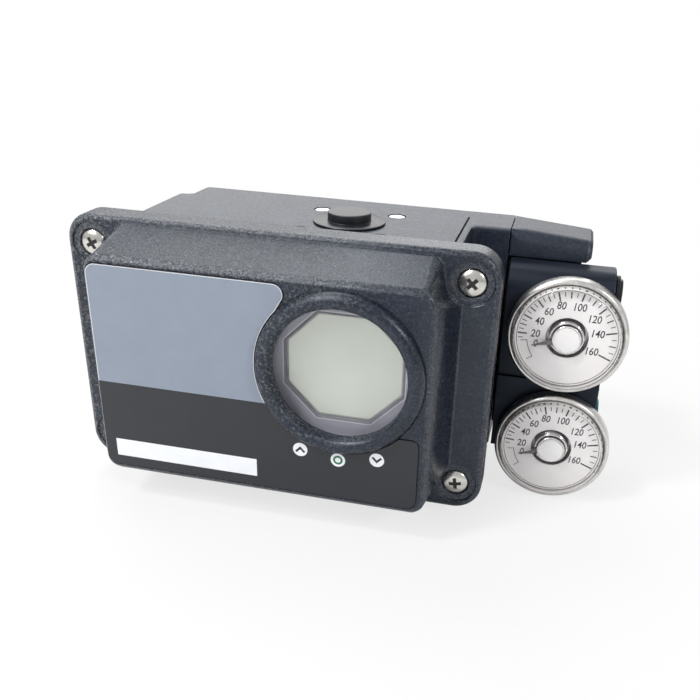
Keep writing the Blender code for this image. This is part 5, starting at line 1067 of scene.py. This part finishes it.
def radial(z, angle, corners):
    """Places on a gauge's face, from their distances along a radius and beside it."""
    run = Vector((math.cos(angle), math.sin(angle)))
    side = Vector((-run.y, run.x))
    return [Vector((GAUGE_X, z)) + run * along + side * beside for along, beside in corners]


def stroke(z, angle, start, end, width, front=DIAL_FACE - INK, back=DIAL_FACE):
    """A radial line of print on a dial, between two radii."""
    half = width / 2
    corners = ((start, -half), (end, -half), (end, half), (start, half))
    return slab(radial(z, angle, corners), front, back)


def numeral(text, x, z):
    """A number printed on a dial, centred at x, z."""
    curve = bpy.data.curves.new("numeral", "FONT")
    curve.body = text
    curve.size = NUMBER_SIZE * MM
    curve.align_x = "CENTER"
    curve.align_y = "CENTER"
    curve.extrude = INK * MM / 2
    curve.shear = 0.12
    curve.offset = 0.00005
    curve.resolution_u = 3
    mesh = evaluated(put("numeral", curve))
    mesh.transform(Matrix.Diagonal((0.82, 1.0, 1.0, 1.0)))
    mesh.transform(Matrix.Rotation(math.pi / 2, 4, "X"))
    mesh.transform(Matrix.Translation(at(x, DIAL_FACE - INK / 2, z)))
    return mesh


FIXED_PARTS = (("case_spun", case_profile, True, 30.0, polished, "gauge_steel", "case"),
               ("lens_moulding", lens_profile, False, 40.0, lens_clear, "gauge_lens", "lens"),
               ("lens_reflection_band", reflection_band_profile, True, 40.0, lens_reflection_band, "gauge_lens", ""),
               ("dial_plate", dial_profile, True, 30.0, dial_paint, "dial_white", "dial"))
for name, z in GAUGES.items():
    spot = (GAUGE_X, 0.0, z)
    for part, profile, closed, angle, material, slot, node in FIXED_PARTS:
        nodes = [f"{name}_gauge_{node}"] if node else []
        mesh = turned(profile, spot, 144, closed)
        piece(f"{name}_{part}", shaded(mesh, angle), material, slot, *nodes)
    marks = []
    turned_back = 4.2 if name == "lower" else 0.0
    for value in range(15, 161, 5):
        step = min(value // 20, 7)
        share = (value - SCALE[step][0]) / 20
        even = SCALE[step][1] * (1 - share) + SCALE[step + 1][1] * share
        angle = math.radians(even - turned_back * (160 - value) / 140)
        if value % 20 == 0:
            tick = ({100: 13.9, 140: 12.9, 160: 12.1}.get(value, 13.5), 16.6, 0.52)
        elif value % 10 == 0:
            tick = (14.2, 16.5, 0.4)
        else:
            tick = (14.8, 16.4, 0.27)
        # The dots on the lens's pale band are painted reflections of the ticks.
        reflected_tick_width = 0.75 if value % 20 == 0 else 0.45
        marks += [stroke(z, angle, *tick), stroke(z, angle, 17.7, 18.25, reflected_tick_width, 22.7, 23.5)]
    for count, (across, up) in enumerate(NUMBER_PLACES):
        marks.append(numeral(str(count * 20), GAUGE_X + across, z + up))
    first, last = BRACKET_ENDS
    bracket = arc((GAUGE_X, z), 13.52, first, last, 8) + arc((GAUGE_X, z), 13.3, last, first, 8)
    marks.append(slab(bracket, DIAL_FACE - INK, DIAL_FACE))
    for end in BRACKET_ENDS:
        marks.append(stroke(z, math.radians(end), 13.3, 15.6, 0.22))
    marks.append(hoop(16.85, 17.02, -DIAL_FACE, INK - DIAL_FACE, spot, 144))
    piece(f"{name}_dial_print", merged(*marks), dial_ink, "dial_white")
    piece(f"{name}_element_coil", shaded(coil(z, 23.35, 27.35, 3.75), 50.0), coil_silver,
          "bronze", f"{name}_gauge_element")
    for part, profile, material in (("button", button, button_white), ("collar", collar, coil_silver)):
        piece(f"{name}_pointer_{part}", shaded(turned(profile, spot, 64), 30.0), material,
              "pointer_grey", body=f"{name}_pointer")
    blade = radial(z, math.radians(POINTER_ANGLE), BLADE)
    piece(f"{name}_pointer_blade", slab(blade, BLADE_FRONT, BLADE_BACK), pointer_paint, "pointer_grey",
          f"{name}_gauge_pointer", body=f"{name}_pointer")
